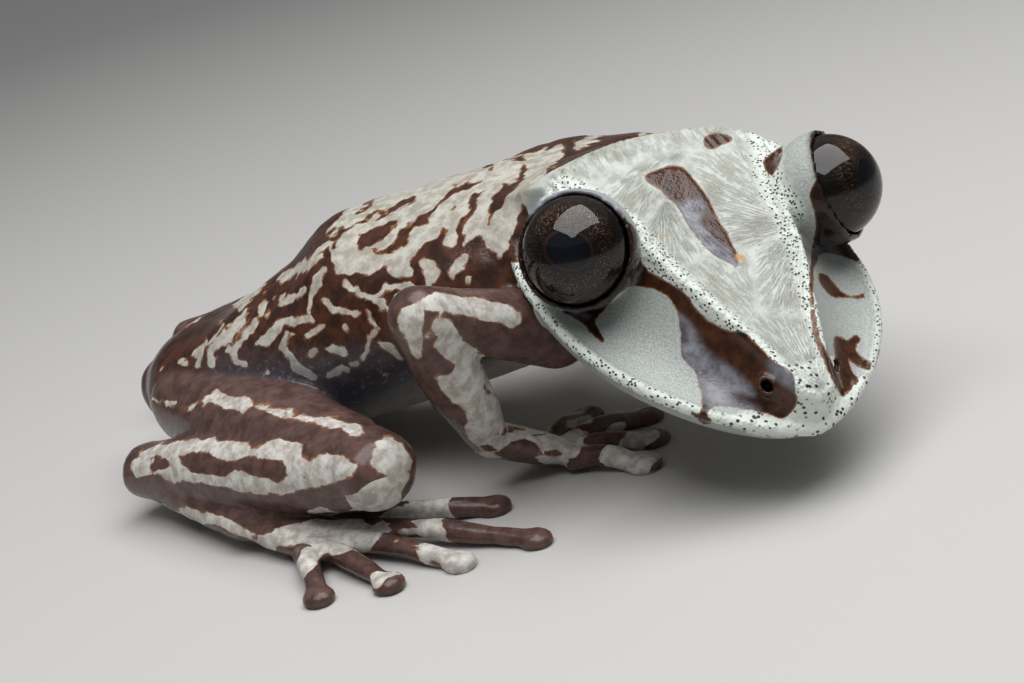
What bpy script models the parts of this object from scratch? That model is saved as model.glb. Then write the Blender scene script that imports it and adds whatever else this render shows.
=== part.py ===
"""A still, life-size model of a brunos casque-headed tree frog, crouched with its head turned to its right.

The frog faces +X, its left side is to +Y, and it rests on the plane z = 0. Every size is in millimetres
until the last step, which scales the meshes to metres. The body is a set of closed nodes, each cut clear
of the ones that it grows from or is folded against by GAP.
"""

from math import cos, pi, radians, sin, sqrt

import bmesh
import bpy
import numpy as np
from mathutils import Matrix, Vector

MM = 0.001
GAP = 0.34
WELD = 1e-4

# The middle of the footprint, which becomes the origin of the finished model.
FOOTPRINT_MIDDLE = (6.24, 1.11, 0.0)

# Where the head sits: the middle point between the eyeballs, and how the head is turned there.
EYE_MIDDLE = (30.1, -5.6, 17.1)
HEAD_YAW = -45.8
HEAD_PITCH = 26.8
HEAD_ROLL = -6.4

# Sizes of the head, from the middle point between the eyes: x forward, y to the left, z up.
SNOUT_X = 15.9
HEAD_REAR_X = -9.4
HEAD_HUB = (-11.0, 0.0, -3.5)
LIP_HALF_WIDTH = 11.85
LIP_WIDEST_X = -2.0
LIP_REAR_NARROWING = 0.16
LIP_Z = -4.9
LIP_TIP_DROP = 0.6
CASQUE_REAR_X = -8.7
CASQUE_CORNER_X = -6.4
CASQUE_BOW = 0.9
CASQUE_TIP_X = 15.1
CASQUE_FRONT_X = 13.2
CREST_HALF_WIDTHS = ((-6.4, 8.0), (-3.9, 7.0), (-0.4, 5.6), (2.9, 5.0), (5.9, 4.05), (8.6, 3.05),
                     (10.9, 2.2), (12.7, 1.6), (14.1, 1.15), (14.8, 0.75), (15.1, 0.0))
CREST_HEIGHTS = ((-8.7, 0.4), (-4.0, 0.8), (0.0, 0.4), (3.0, 0.0), (6.0, -0.5), (9.0, -1.15),
                 (12.0, -1.9), (14.0, -2.5), (15.1, -3.2))
PLATEAU_DIPS = ((-8.7, -0.5), (-4.0, 0.3), (2.0, 0.75), (6.0, 0.8), (9.0, 0.6), (12.0, 0.25), (13.2, 0.0))
CHIN_HEIGHTS = ((-10.0, -9.6), (-3.0, -9.6), (6.0, -9.0), (12.0, -8.3), (13.2, -8.0))
CHIN_FRONT_X = 10.6
MOUTH_CORNER = 0.16
JAW_INSET_REAR = 0.3
JAW_INSET_FRONT = 1.7

# Rows of the head from the middle of the casque to the chin, as shares or as ways in and down. The cheek
# hollows in below the crest, most at mid length.
PLATEAU_SHARES = (0.0, 0.4, 0.75)
CHEEK_SHARES = (0.0, 0.12, 0.3, 0.55, 0.8)
CHEEK_HOLLOWS = ((0.0, 1.0), (0.12, 1.7), (0.3, 2.6), (0.5, 2.8), (0.8, 2.4), (0.9, 1.9), (1.0, 1.3))
LIP_ROWS = ((0.0, 0.0), (0.12, 0.5), (1.2, 0.75))
JAW_ROWS = ((0.0, 1.15), (0.15, 1.85), (2.0, 3.2))
CHIN_SHARES = (0.45, 1.0)

# The eyes: their radius, how far each lies from the middle, and the way they look out.
EYE_RADIUS = 3.65
EYE_Y = 9.57
EYE_TURN = 45.0
EYE_LIFT = 36.0
LID_RADIUS = 4.5
LID_OPENING = 80.0
SOCKET_GAP = 0.3
EYE_SEGMENTS = 22
EYE_RINGS = 12

# The nostrils, each a low mound with a hole.
NOSTRIL = (12.9, 2.5, -3.35)
NOSTRIL_RADIUS = 0.85
NOSTRIL_HOLE = 0.3
NOSTRIL_DEPTH = 1.1

# The trunk, from the vent to inside the back of the head: points on its axis with half-width, rise and drop.
TRUNK = (
    ((-21.0, 0.4, 6.2), (3.2, 2.8, 3.0)),
    ((-18.0, 0.2, 6.8), (6.0, 4.2, 4.6)),
    ((-12.0, 0.2, 7.6), (8.4, 5.8, 6.2)),
    ((-4.0, 0.4, 9.2), (9.8, 7.0, 6.6)),
    ((3.0, 0.8, 11.0), (10.6, 8.0, 6.9)),
    ((10.0, 1.4, 12.4), (11.2, 8.0, 6.8)),
    ((16.5, 2.0, 14.0), (10.9, 7.1, 6.8)),
    ((20.8, 2.2, 15.7), (10.4, 5.6, 6.4)),
    ((23.6, 1.6, 16.0), (9.4, 4.3, 5.6)),
)
TRUNK_SIDES = 26
TRUNK_RINGS = 20

# The neck grows back from the outline of the head's rear: how each ring of it is shifted and sized.
NECK_RINGS = (
    ((1.6, -1.7, -0.7), 0.8),
    ((0.0, 0.0, 0.0), 1.0),
    ((-4.0, 1.9, -0.8), 1.0),
    ((-9.0, 3.2, -2.4), 0.9),
    ((-14.0, 2.8, -4.4), 0.5),
)

# Soft humps raised on the torso: centre, radius and height. The first two are the ends of the pelvis.
TORSO_HUMPS = (
    ((0.5, -4.6, 16.2), 4.5, 1.0),
    ((0.5, 5.8, 16.2), 4.5, 1.0),
    ((16.5, -4.5, 20.4), 5.0, 0.6),
    ((15.0, 7.5, 20.4), 5.0, 0.8),
    ((-17.0, -6.0, 6.5), 4.5, 0.8),
    ((-17.0, 6.4, 6.5), 4.5, 0.8),
)

# The joints of the limbs on each side.
ARMS = {
    "right": {"shoulder": (18.0, -7.0, 10.8), "elbow": (13.2, -17.3, 16.4), "wrist": (12.6, -10.4, 4.2)},
    "left": {"shoulder": (18.0, 7.5, 10.8), "elbow": (12.0, 16.0, 12.0), "wrist": (18.0, 17.5, 2.6)},
}
LEGS = {
    "right": {"hip": (-15.2, -4.5, 7.0), "knee": (8.2, -18.7, 6.0), "heel": (-17.2, -10.5, 3.6),
              "end": (-4.0, -17.2, 1.8)},
    "left": {"hip": (-15.0, 5.0, 7.9), "knee": (5.0, 23.5, 7.0), "heel": (-26.0, 11.0, 6.0),
             "end": (-10.5, 17.5, 1.8)},
}

# Each length of a limb: half-width, rise and drop at its root, middle and end.
UPPER_ARM = ((2.9, 2.9, 2.9), (2.3, 2.3, 2.3), (2.0, 2.0, 2.0))
FOREARM = ((1.8, 1.8, 1.8), (2.2, 2.2, 2.2), (1.5, 1.4, 1.4))
THIGH = ((3.9, 3.2, 3.8), (4.2, 3.3, 3.7), (2.9, 2.6, 2.8))
SHANK = ((2.6, 2.6, 2.6), (3.1, 3.1, 3.1), (2.3, 2.2, 2.2))
TARSUS = ((2.0, 1.9, 1.9), (1.9, 1.6, 1.6), (1.9, 1.3, 1.3))
PALM = ((1.5, 1.4, 1.4), (2.2, 1.2, 1.3), (2.6, 0.9, 1.0))
SOLE = ((1.7, 1.3, 1.3), (2.1, 1.1, 1.2), (2.6, 0.9, 1.0))
ARM_SIDES = 12
LEG_SIDES = 14
LIMB_RINGS = 5

# The hands and feet: where the palm or sole ends, how its digits fan out, and how long each is.
HANDS = {
    "right": {"end": (15.6, -6.4, 1.4), "heading": 52, "spreads": (-52, -20, 4, 34),
              "lengths": (4.6, 5.8, 7.6, 6.2)},
    "left": {"end": (21.6, 15.2, 1.4), "heading": -25, "spreads": (-45, -14, 12, 48),
             "lengths": (5.6, 6.8, 6.2, 5.2)},
}
FEET = {
    "right": {"end": (1.8, -18.4, 1.1), "heading": -6, "spreads": (-48, -24, -8, 2, 22),
              "lengths": (6.0, 9.0, 12.0, 16.0, 11.0)},
    "left": {"end": (-4.5, 20.0, 1.1), "heading": 22, "spreads": (-30, -6, 4, 20, 44),
             "lengths": (11.0, 15.0, 12.0, 9.0, 6.0)},
}
DIGIT = ((0.95, 0.85, 0.85), (0.8, 0.75, 0.75), (0.75, 0.6, 0.7))
DIGIT_SIDES = 7
DIGIT_RINGS = 4
DIGIT_ROOT_Z = 0.95
DIGIT_TIP_Z = 0.5
ROOTS_HALF_WIDTH = 1.9
FINGER_ARCH = 0.35
TOE_ARCH = 0.25
FINGER_DISC = 1.35
TOE_DISC = 1.2
DISC_HALF_THICKNESS = 0.75
DISC_LEAD = 0.55
DISC_DROP = 0.15

# How far round its quarter circle each ring of a rounded end lies, in degrees, and how deep the end is.
DOME_TURNS = (32.0, 62.0)
DOME_DEPTH = 0.75
DOME_TIP = 0.25

# The colours of the skin and eyes, and how rough each is.
CASQUE_GREY = (0.52, 0.49, 0.42)
BACK_BROWN = (0.20, 0.12, 0.08)
ARM_BEIGE = (0.45, 0.36, 0.27)
LEG_BROWN = (0.30, 0.20, 0.15)
SHANK_BEIGE = (0.42, 0.33, 0.25)
DIGIT_BROWN = (0.26, 0.18, 0.13)
EYE_BROWN = (0.03, 0.015, 0.01)
NODE_COLOURS = {"head": CASQUE_GREY, "torso": BACK_BROWN, "upper_arm": ARM_BEIGE, "forearm": ARM_BEIGE,
                "hand": DIGIT_BROWN, "thigh": LEG_BROWN, "shank": SHANK_BEIGE, "tarsus": SHANK_BEIGE,
                "foot": DIGIT_BROWN, "eye": EYE_BROWN}
SKIN_ROUGHNESS = 0.4
EYE_ROUGHNESS = 0.05
SHARP_ANGLE = 60.0


def spline(knots, values, at):
    """A smooth curve through the values at the knots."""
    knots = np.asarray(knots, float)
    values = np.asarray(values, float)
    slopes = np.gradient(values, knots, axis=0)
    first = int(np.clip(np.searchsorted(knots, at, side="right") - 1, 0, len(knots) - 2))
    span = knots[first + 1] - knots[first]
    t = min(max((at - knots[first]) / span, 0.0), 1.0)
    start = (1 + 2 * t) * (1 - t) ** 2 * values[first] + t * (1 - t) ** 2 * span * slopes[first]
    end = t * t * (3 - 2 * t) * values[first + 1] - t * t * (1 - t) * span * slopes[first + 1]
    return start + end


def profile(stations, x):
    """One size at x, from its (x, size) stations."""
    knots, values = zip(*stations)
    return float(spline(knots, values, x))


def mix(a, b, share):
    return a + (b - a) * share


def middle_of(start, end, lift=0.0):
    point = (Vector(start) + Vector(end)) / 2
    point.z += lift
    return tuple(point)


def closed_object(name, bm):
    """Turns a closed bmesh into an object with its faces pointing out."""
    bmesh.ops.recalc_face_normals(bm, faces=bm.faces)
    if bm.calc_volume(signed=True) < 0:
        bmesh.ops.reverse_faces(bm, faces=bm.faces)
    bmesh.ops.triangulate(bm, faces=bm.faces)
    return add_object(name, bm)


def add_object(name, bm):
    """Turns a bmesh into an object as it is."""
    mesh = bpy.data.meshes.new(name)
    bm.to_mesh(mesh)
    bm.free()
    obj = bpy.data.objects.new(name, mesh)
    bpy.context.scene.collection.objects.link(obj)
    return obj


def bmesh_of(obj):
    bm = bmesh.new()
    bm.from_mesh(obj.data)
    return bm


def copy_of(obj, name):
    copied = bpy.data.objects.new(name, obj.data.copy())
    bpy.context.scene.collection.objects.link(copied)
    return copied


def remove(obj):
    mesh = obj.data
    bpy.data.objects.remove(obj)
    bpy.data.meshes.remove(mesh)


def enclosed(faces):
    """The volume inside triangles."""
    total = 0.0
    for face in faces:
        a, b, c = (vert.co for vert in face.verts)
        total += a.dot(b.cross(c)) / 6
    return total


def keep_largest(obj):
    """Drops all but the largest closed surface, such as scraps that a cut leaves."""
    bm = bmesh_of(obj)
    unseen = set(bm.faces)
    surfaces = []
    while unseen:
        surface = [unseen.pop()]
        for face in surface:
            for edge in face.edges:
                for other in edge.link_faces:
                    if other in unseen:
                        unseen.remove(other)
                        surface.append(other)
        surfaces.append(surface)
    kept = set(max(surfaces, key=lambda faces: abs(enclosed(faces))))
    bmesh.ops.delete(bm, geom=[face for face in bm.faces if face not in kept], context="FACES")
    bm.to_mesh(obj.data)
    bm.free()


def combine(obj, others, operation, solver="EXACT"):
    """Joins the other objects to obj, or cuts them from it, and removes them."""
    group = bpy.data.collections.new("operands")
    bpy.context.scene.collection.children.link(group)
    for other in others:
        group.objects.link(other)
    step = obj.modifiers.new("combine", "BOOLEAN")
    step.operation = operation
    step.operand_type = "COLLECTION"
    step.collection = group
    step.solver = solver
    graph = bpy.context.evaluated_depsgraph_get()
    made = bpy.data.meshes.new_from_object(obj.evaluated_get(graph))
    obj.modifiers.remove(step)
    old = obj.data
    obj.data = made
    bpy.data.meshes.remove(old)
    for other in others:
        remove(other)
    bpy.data.collections.remove(group)
    bm = bmesh_of(obj)
    bmesh.ops.dissolve_degenerate(bm, dist=WELD, edges=bm.edges)
    bmesh.ops.triangulate(bm, faces=bm.faces)
    bm.to_mesh(obj.data)
    bm.free()
    keep_largest(obj)


def grown_copy(obj, by):
    """A copy of the object with its surface moved out."""
    bm = bmesh_of(obj)
    bm.normal_update()
    for vert, way in [(vert, vert.normal.copy()) for vert in bm.verts]:
        vert.co += way * by
    return add_object(obj.name + "_grown", bm)


def reach_of(obj):
    corners = np.array([vert.co[:] for vert in obj.data.vertices])
    return corners.min(axis=0), corners.max(axis=0)


def near(obj, other):
    """Whether the boxes of two objects come within the gap."""
    low, high = reach_of(obj)
    other_low, other_high = reach_of(other)
    return bool((low <= other_high + 2 * GAP).all() and (other_low <= high + 2 * GAP).all())


def carve(obj, forms):
    """Cuts an object clear of the forms that it grows from or is folded against."""
    for form in forms:
        if near(obj, form):
            combine(obj, [grown_copy(form, GAP)], "DIFFERENCE")


def flatten_base(obj):
    """Cuts off what lies below the floor, which leaves the flats that the frog rests on."""
    bm = bmesh_of(obj)
    floor = bmesh.ops.bisect_plane(bm, geom=bm.verts[:] + bm.edges[:] + bm.faces[:], dist=WELD,
                                   plane_co=(0, 0, 0), plane_no=(0, 0, -1), clear_outer=True)
    rim = [item for item in floor["geom_cut"] if isinstance(item, bmesh.types.BMEdge)]
    if rim:
        bmesh.ops.holes_fill(bm, edges=rim, sides=0)
        bmesh.ops.triangulate(bm, faces=bm.faces)
    bm.to_mesh(obj.data)
    bm.free()


def frame_along(tangent, up):
    """Side and up vectors of a section across the tangent."""
    side = up.cross(tangent).normalized()
    return side, tangent.cross(side)


def dome_rings(station, sign):
    """The smaller rings of a rounded end, and its tip."""
    here, tangent, size = station
    depth = DOME_DEPTH * min(size)
    rings = []
    for turn in DOME_TURNS:
        ahead = here + tangent * sign * depth * sin(radians(turn))
        rings.append((ahead, tangent, size * cos(radians(turn))))
    last, _, last_size = rings[-1]
    return rings, last + tangent * sign * DOME_DEPTH * DOME_TIP * min(last_size)


def lofted(name, centres, sizes, sides, rings):
    """A closed body of oval sections along a smooth path, with rounded ends.

    The centres are points on the path. The sizes at each are its half-width, rise and drop.
    """
    knots = np.cumsum([0.0] + [(Vector(b) - Vector(a)).length for a, b in zip(centres, centres[1:])])
    stations = []
    for at in np.linspace(knots[0], knots[-1], rings):
        here = Vector(spline(knots, centres, at))
        tangent = Vector(spline(knots, centres, at + 0.05)) - Vector(spline(knots, centres, at - 0.05))
        stations.append((here, tangent.normalized(), Vector(spline(knots, sizes, at))))
    first_rings, first_tip = dome_rings(stations[0], -1)
    last_rings, last_tip = dome_rings(stations[-1], 1)
    stations = first_rings[::-1] + stations + last_rings
    bm = bmesh.new()
    bmesh.ops.create_uvsphere(bm, u_segments=sides, v_segments=len(stations) + 1, radius=1.0)
    for vert in bm.verts:
        row = round(np.arccos(np.clip(vert.co.z, -1, 1)) / pi * (len(stations) + 1))
        if row == 0 or row == len(stations) + 1:
            vert.co = first_tip if row == 0 else last_tip
            continue
        here, tangent, size = stations[row - 1]
        side, lift = frame_along(tangent, Vector((0, 0, 1)))
        around = Vector((vert.co.x, vert.co.y)).normalized()
        height = size[1] if around.y > 0 else size[2]
        vert.co = here + side * around.x * size[0] + lift * around.y * height
    return closed_object(name, bm)


def head_place():
    """The matrix that sets the head on the body."""
    turn = Matrix.Rotation(radians(HEAD_YAW), 4, "Z")
    nod = Matrix.Rotation(radians(HEAD_PITCH), 4, "Y")
    roll = Matrix.Rotation(radians(HEAD_ROLL), 4, "X")
    return Matrix.Translation(EYE_MIDDLE) @ turn @ nod @ roll


def lip_point(u):
    """The rim of the upper lip, from the rear of the head at u = 0 round to the snout at u = 1."""
    x = mix(HEAD_REAR_X, SNOUT_X, sin(u * pi / 2))
    if x < LIP_WIDEST_X:
        narrowing = LIP_REAR_NARROWING * ((LIP_WIDEST_X - x) / (LIP_WIDEST_X - HEAD_REAR_X)) ** 2
        half_width = LIP_HALF_WIDTH * (1 - narrowing)
    else:
        forward = min((x - LIP_WIDEST_X) / (SNOUT_X - LIP_WIDEST_X), 1.0)
        half_width = LIP_HALF_WIDTH * (1 - forward ** 2.4) ** 0.7
    drop = LIP_TIP_DROP * max(0.0, (x - 6.0) / (SNOUT_X - 6.0)) ** 2
    return Vector((x, half_width, LIP_Z - drop))


def crest_point(u):
    """The crest of the canthal ridge, which runs past the eye to the rear corner of the casque."""
    x = mix(CASQUE_CORNER_X, CASQUE_TIP_X, sin(u * pi / 2))
    return Vector((x, max(profile(CREST_HALF_WIDTHS, x), 0.0), profile(CREST_HEIGHTS, x)))


def casque_middle(u):
    x = mix(CASQUE_REAR_X, CASQUE_FRONT_X, sin(u * pi / 2))
    return Vector((x, 0.0, profile(CREST_HEIGHTS, x) - profile(PLATEAU_DIPS, x)))


def chin_middle(u):
    x = mix(HEAD_REAR_X + 1.0, CHIN_FRONT_X, sin(u * pi / 2))
    return Vector((x, 0.0, profile(CHIN_HEIGHTS, x)))


def inset(point, by):
    """A point of the lip's outline drawn in towards the middle of the head, level."""
    x = mix(HEAD_REAR_X, point.x, 1 - by / (SNOUT_X - HEAD_REAR_X))
    return Vector((x, point.y * (1 - by / LIP_HALF_WIDTH), point.z))


def head_rows(u):
    """The points of one half section of the head, from the middle of the casque to the chin."""
    middle = casque_middle(u)
    crest = crest_point(u)
    lip = lip_point(u)
    rows = []
    for share in PLATEAU_SHARES:
        point = mix(middle, crest, share)
        point.x -= CASQUE_BOW * 4 * share * (1 - share) * (1 - u) ** 3
        point.z = mix(middle.z, crest.z, share ** 3)
        rows.append(point)
    hollow = profile(CHEEK_HOLLOWS, u)
    for share in CHEEK_SHARES:
        point = mix(crest, lip, share)
        point.z = mix(crest.z, lip.z, 1 - (1 - share) ** hollow)
        rows.append(point)
    opening = min(u / MOUTH_CORNER, 1.0)
    for inwards, down in LIP_ROWS:
        rows.append(inset(lip, inwards * opening) - Vector((0, 0, down)))
    jaw_inset = mix(JAW_INSET_REAR, JAW_INSET_FRONT, u)
    for inwards, down in JAW_ROWS:
        rows.append(inset(lip, inwards + jaw_inset) - Vector((0, 0, down)))
    jaw = rows[-1]
    chin = chin_middle(u)
    for share in CHIN_SHARES:
        point = mix(jaw, chin, share)
        point.z = mix(jaw.z, chin.z, sqrt(share))
        rows.append(point)
    return rows


def head_shell(name, columns=26):
    """The head without its eyes: half a grid shaped row by row, then mirrored and closed at the rear."""
    sections = [head_rows(column / columns) for column in range(columns + 1)]
    rows = len(sections[0])
    bm = bmesh.new()
    bmesh.ops.create_grid(bm, x_segments=columns, y_segments=rows - 1, size=1.0)
    for vert in bm.verts:
        column = round((vert.co.x + 1) / 2 * columns)
        row = round((vert.co.y + 1) / 2 * (rows - 1))
        vert.co = sections[column][row]
        if row in (0, rows - 1) or column == columns:
            vert.co.y = 0.0
    bmesh.ops.mirror(bm, geom=bm.verts[:] + bm.edges[:] + bm.faces[:], axis="Y", merge_dist=WELD)
    bmesh.ops.remove_doubles(bm, verts=bm.verts, dist=WELD)
    rim = [edge for edge in bm.edges if edge.is_boundary]
    back = bmesh.ops.extrude_edge_only(bm, edges=rim)["geom"]
    hub = [item for item in back if isinstance(item, bmesh.types.BMVert)]
    bmesh.ops.pointmerge(bm, verts=hub, merge_co=HEAD_HUB)
    return closed_object(name, bm)


def eye_way(side):
    """The direction in which an eye looks out, in the head's own frame. The side is 1 on the left."""
    turn = radians(EYE_TURN)
    lift = radians(EYE_LIFT)
    return Vector((cos(lift) * cos(turn), side * cos(lift) * sin(turn), sin(lift)))


def turned_to(way):
    """The rotation that turns +Z to a direction."""
    return Vector((0, 0, 1)).rotation_difference(Vector(way)).to_matrix().to_4x4()


def ball(name, side, radius):
    """A ball about an eye's centre, with its poles along the way the eye looks."""
    bm = bmesh.new()
    place = Matrix.Translation((0, side * EYE_Y, 0)) @ turned_to(eye_way(side))
    bmesh.ops.create_uvsphere(bm, u_segments=EYE_SEGMENTS, v_segments=EYE_RINGS, radius=radius, matrix=place)
    return closed_object(name, bm)


def lid(side):
    """The ring of lids round one eye: a ball cut off square to the way the eye looks."""
    obj = ball("lid", side, LID_RADIUS)
    way = eye_way(side)
    edge = Vector((0, side * EYE_Y, 0)) + way * LID_RADIUS * cos(radians(LID_OPENING))
    bm = bmesh_of(obj)
    remove(obj)
    cut = bmesh.ops.bisect_plane(bm, geom=bm.verts[:] + bm.edges[:] + bm.faces[:], dist=WELD,
                                 plane_co=edge, plane_no=way, clear_outer=True)
    rim = [item for item in cut["geom_cut"] if isinstance(item, bmesh.types.BMEdge)]
    bmesh.ops.holes_fill(bm, edges=rim, sides=0)
    return closed_object("lid", bm)


def nostril_mound(side):
    x, y, z = NOSTRIL
    bm = bmesh.new()
    bmesh.ops.create_icosphere(bm, subdivisions=2, radius=NOSTRIL_RADIUS,
                               matrix=Matrix.Translation((x, side * y, z)))
    return closed_object("mound", bm)


def nostril_hole(side):
    x, y, z = NOSTRIL
    way = Vector((0.55, side * 0.5, 0.65)).normalized()
    place = Matrix.Translation(Vector((x, side * y, z)) + way * NOSTRIL_RADIUS) @ turned_to(way)
    bm = bmesh.new()
    bmesh.ops.create_cone(bm, cap_ends=True, segments=8, radius1=NOSTRIL_HOLE, radius2=NOSTRIL_HOLE * 1.2,
                          depth=NOSTRIL_DEPTH, matrix=place)
    return closed_object("hole", bm)


def build_head():
    """The head with lids, nostrils and the line of the mouth, set on the body."""
    head = head_shell("head")
    combine(head, [lid(1), lid(-1), nostril_mound(1), nostril_mound(-1)], "UNION")
    sockets = [ball("socket", side, EYE_RADIUS + SOCKET_GAP) for side in (1, -1)]
    combine(head, sockets + [nostril_hole(1), nostril_hole(-1)], "DIFFERENCE")
    head.data.transform(head_place())
    return head


def build_eye(side, name):
    eye = ball(name, side, EYE_RADIUS)
    eye.data.transform(head_place())
    return eye


def neck():
    """A sleeve that grows back from the outline of the head's rear into the trunk."""
    half = head_rows(0.0)
    outline = half + [Vector((point.x, -point.y, point.z)) for point in half[-2:0:-1]]
    outline = [head_place() @ point for point in outline]
    middle = sum(outline, Vector()) / len(outline)
    bm = bmesh.new()
    made = bmesh.ops.create_circle(bm, segments=len(outline), radius=1.0)
    first = list(made["verts"])
    for vert, point in zip(first, outline):
        vert.co = point
    edges = list(bm.edges)
    bmesh.ops.contextual_create(bm, geom=edges)
    rings = [first]
    for _ in NECK_RINGS[1:]:
        geom = bmesh.ops.extrude_edge_only(bm, edges=edges)["geom"]
        edges = [item for item in geom if isinstance(item, bmesh.types.BMEdge)
                 and item.is_boundary]
        verts = {vert for edge in edges for vert in edge.verts}
        ring = []
        for vert in rings[-1]:
            ring.append(next(edge.other_vert(vert) for edge in vert.link_edges
                             if edge.other_vert(vert) in verts))
        rings.append(ring)
    bmesh.ops.contextual_create(bm, geom=edges)
    for ring, (shift, share) in zip(rings, NECK_RINGS):
        for vert, point in zip(ring, outline):
            vert.co = middle + (point - middle) * share + Vector(shift)
    return closed_object("neck", bm)


def raise_humps(obj, humps):
    """Moves the surface out smoothly round each hump."""
    bm = bmesh_of(obj)
    bm.normal_update()
    moves = []
    for vert in bm.verts:
        height = 0.0
        for centre, radius, most in humps:
            near_share = 1 - min((vert.co - Vector(centre)).length / radius, 1.0)
            height += most * near_share * near_share * (3 - 2 * near_share)
        moves.append(vert.normal * height)
    for vert, move in zip(bm.verts, moves):
        vert.co += move
    bm.to_mesh(obj.data)
    bm.free()


def build_torso():
    """The trunk and the neck in one piece."""
    centres, sizes = zip(*TRUNK)
    torso = lofted("torso", centres, sizes, TRUNK_SIDES, TRUNK_RINGS)
    raise_humps(torso, TORSO_HUMPS)
    combine(torso, [neck()], "UNION")
    return torso


def segment(name, start, end, sizes, sides):
    """One length of a limb between two joints."""
    return lofted(name, (start, middle_of(start, end), end), sizes, sides, LIMB_RINGS)


def digit(root, tip, disc, arch):
    """A finger or toe that arches from its root to a rounded disc."""
    knuckle = (root + tip) / 2
    knuckle.z = max(root.z, tip.z) + arch
    finger = lofted("digit", (tuple(root), tuple(knuckle), tuple(tip)), DIGIT, DIGIT_SIDES, DIGIT_RINGS)
    way = tip - root
    way.z = 0
    way.normalize()
    turned = Vector((1, 0, 0)).rotation_difference(way).to_matrix().to_4x4()
    place = Matrix.Translation(tip + way * disc * DISC_LEAD - Vector((0, 0, DISC_DROP)))
    shape = Matrix.Diagonal((disc * 1.05, disc, DISC_HALF_THICKNESS, 1))
    bm = bmesh.new()
    bmesh.ops.create_icosphere(bm, subdivisions=2, radius=1.0, matrix=place @ turned @ shape)
    return [finger, closed_object("disc", bm)]


def fan_tips(fan):
    """Roots and tips of the digits, fanned about a heading in degrees."""
    turn = radians(fan["heading"])
    tips = []
    for place, (spread, length) in enumerate(zip(fan["spreads"], fan["lengths"])):
        across = mix(-ROOTS_HALF_WIDTH, ROOTS_HALF_WIDTH, place / (len(fan["spreads"]) - 1))
        root = Vector(fan["end"]) + Vector((-sin(turn), cos(turn), 0)) * across
        root.z = DIGIT_ROOT_Z
        way = radians(fan["heading"] + spread)
        tip = root + Vector((cos(way), sin(way), 0)) * length
        tip.z = DIGIT_TIP_Z
        tips.append((root, tip))
    return tips


def build_fan(name, start, fan, sizes, disc, arch):
    """A hand or foot: the palm or sole, its digits and their discs in one piece."""
    centres = (start, middle_of(start, fan["end"]), fan["end"])
    palm = lofted(name, centres, sizes, ARM_SIDES, DIGIT_RINGS)
    digits = []
    for root, tip in fan_tips(fan):
        digits += digit(root, tip, disc, arch)
    combine(palm, digits, "UNION")
    return palm


def build_limbs():
    """The arms and legs, each from its root outwards."""
    limbs = []
    for side, arm in ARMS.items():
        limbs.append(segment("upper_arm_" + side, arm["shoulder"], arm["elbow"], UPPER_ARM, ARM_SIDES))
        limbs.append(segment("forearm_" + side, arm["elbow"], arm["wrist"], FOREARM, ARM_SIDES))
    for side, leg in LEGS.items():
        limbs.append(segment("thigh_" + side, leg["hip"], leg["knee"], THIGH, LEG_SIDES))
        limbs.append(segment("shank_" + side, leg["knee"], leg["heel"], SHANK, LEG_SIDES))
        limbs.append(segment("tarsus_" + side, leg["heel"], leg["end"], TARSUS, ARM_SIDES))
    for side, hand in HANDS.items():
        limbs.append(build_fan("hand_" + side, ARMS[side]["wrist"], hand, PALM, FINGER_DISC, FINGER_ARCH))
    for side, foot in FEET.items():
        limbs.append(build_fan("foot_" + side, LEGS[side]["end"], foot, SOLE, TOE_DISC, TOE_ARCH))
    return limbs


def clear_scene():
    for obj in list(bpy.data.objects):
        bpy.data.objects.remove(obj)


def give_material(node):
    """The node's own material, of the colour that its part of the skin or eye has most of."""
    kind = node.name.removesuffix("_left").removesuffix("_right")
    made = bpy.data.materials.new(node.name)
    made.use_nodes = True
    shader = made.node_tree.nodes["Principled BSDF"]
    shader.inputs["Base Color"].default_value = (*NODE_COLOURS[kind], 1.0)
    shader.inputs["Roughness"].default_value = EYE_ROUGHNESS if kind == "eye" else SKIN_ROUGHNESS
    shader.inputs["Metallic"].default_value = 0.0
    node.data.materials.clear()
    node.data.materials.append(made)


def finish(nodes):
    """Sets the frog on the floor with its footprint's middle at the origin, in metres."""
    for node in nodes:
        flatten_base(node)
        node.data.transform(Matrix.Translation(-Vector(FOOTPRINT_MIDDLE)))
        node.data.transform(Matrix.Scale(MM, 4))
        node.data.name = node.name
        node.data.shade_smooth()
        node.data.set_sharp_from_angle(angle=radians(SHARP_ANGLE))
        give_material(node)


def build():
    clear_scene()
    torso = build_torso()
    shell = head_shell("head_form")
    shell.data.transform(head_place())
    forms = [copy_of(torso, "torso_form"), shell]
    carve(torso, [shell])
    nodes = [torso, build_head(), build_eye(1, "eye_left"), build_eye(-1, "eye_right")]
    for limb in build_limbs():
        form = copy_of(limb, limb.name + "_form")
        carve(limb, forms)
        forms.append(form)
        nodes.append(limb)
    for form in forms:
        remove(form)
    finish(nodes)


build()
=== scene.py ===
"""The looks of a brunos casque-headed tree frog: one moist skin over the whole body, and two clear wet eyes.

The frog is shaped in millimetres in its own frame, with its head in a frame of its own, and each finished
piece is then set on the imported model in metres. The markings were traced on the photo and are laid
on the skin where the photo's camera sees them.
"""

from math import cos, pi, radians, sin, sqrt

import bmesh
import bpy
import numpy as np
from mathutils import Matrix, Vector, noise
from mathutils.bvhtree import BVHTree
from mathutils.kdtree import KDTree


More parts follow.
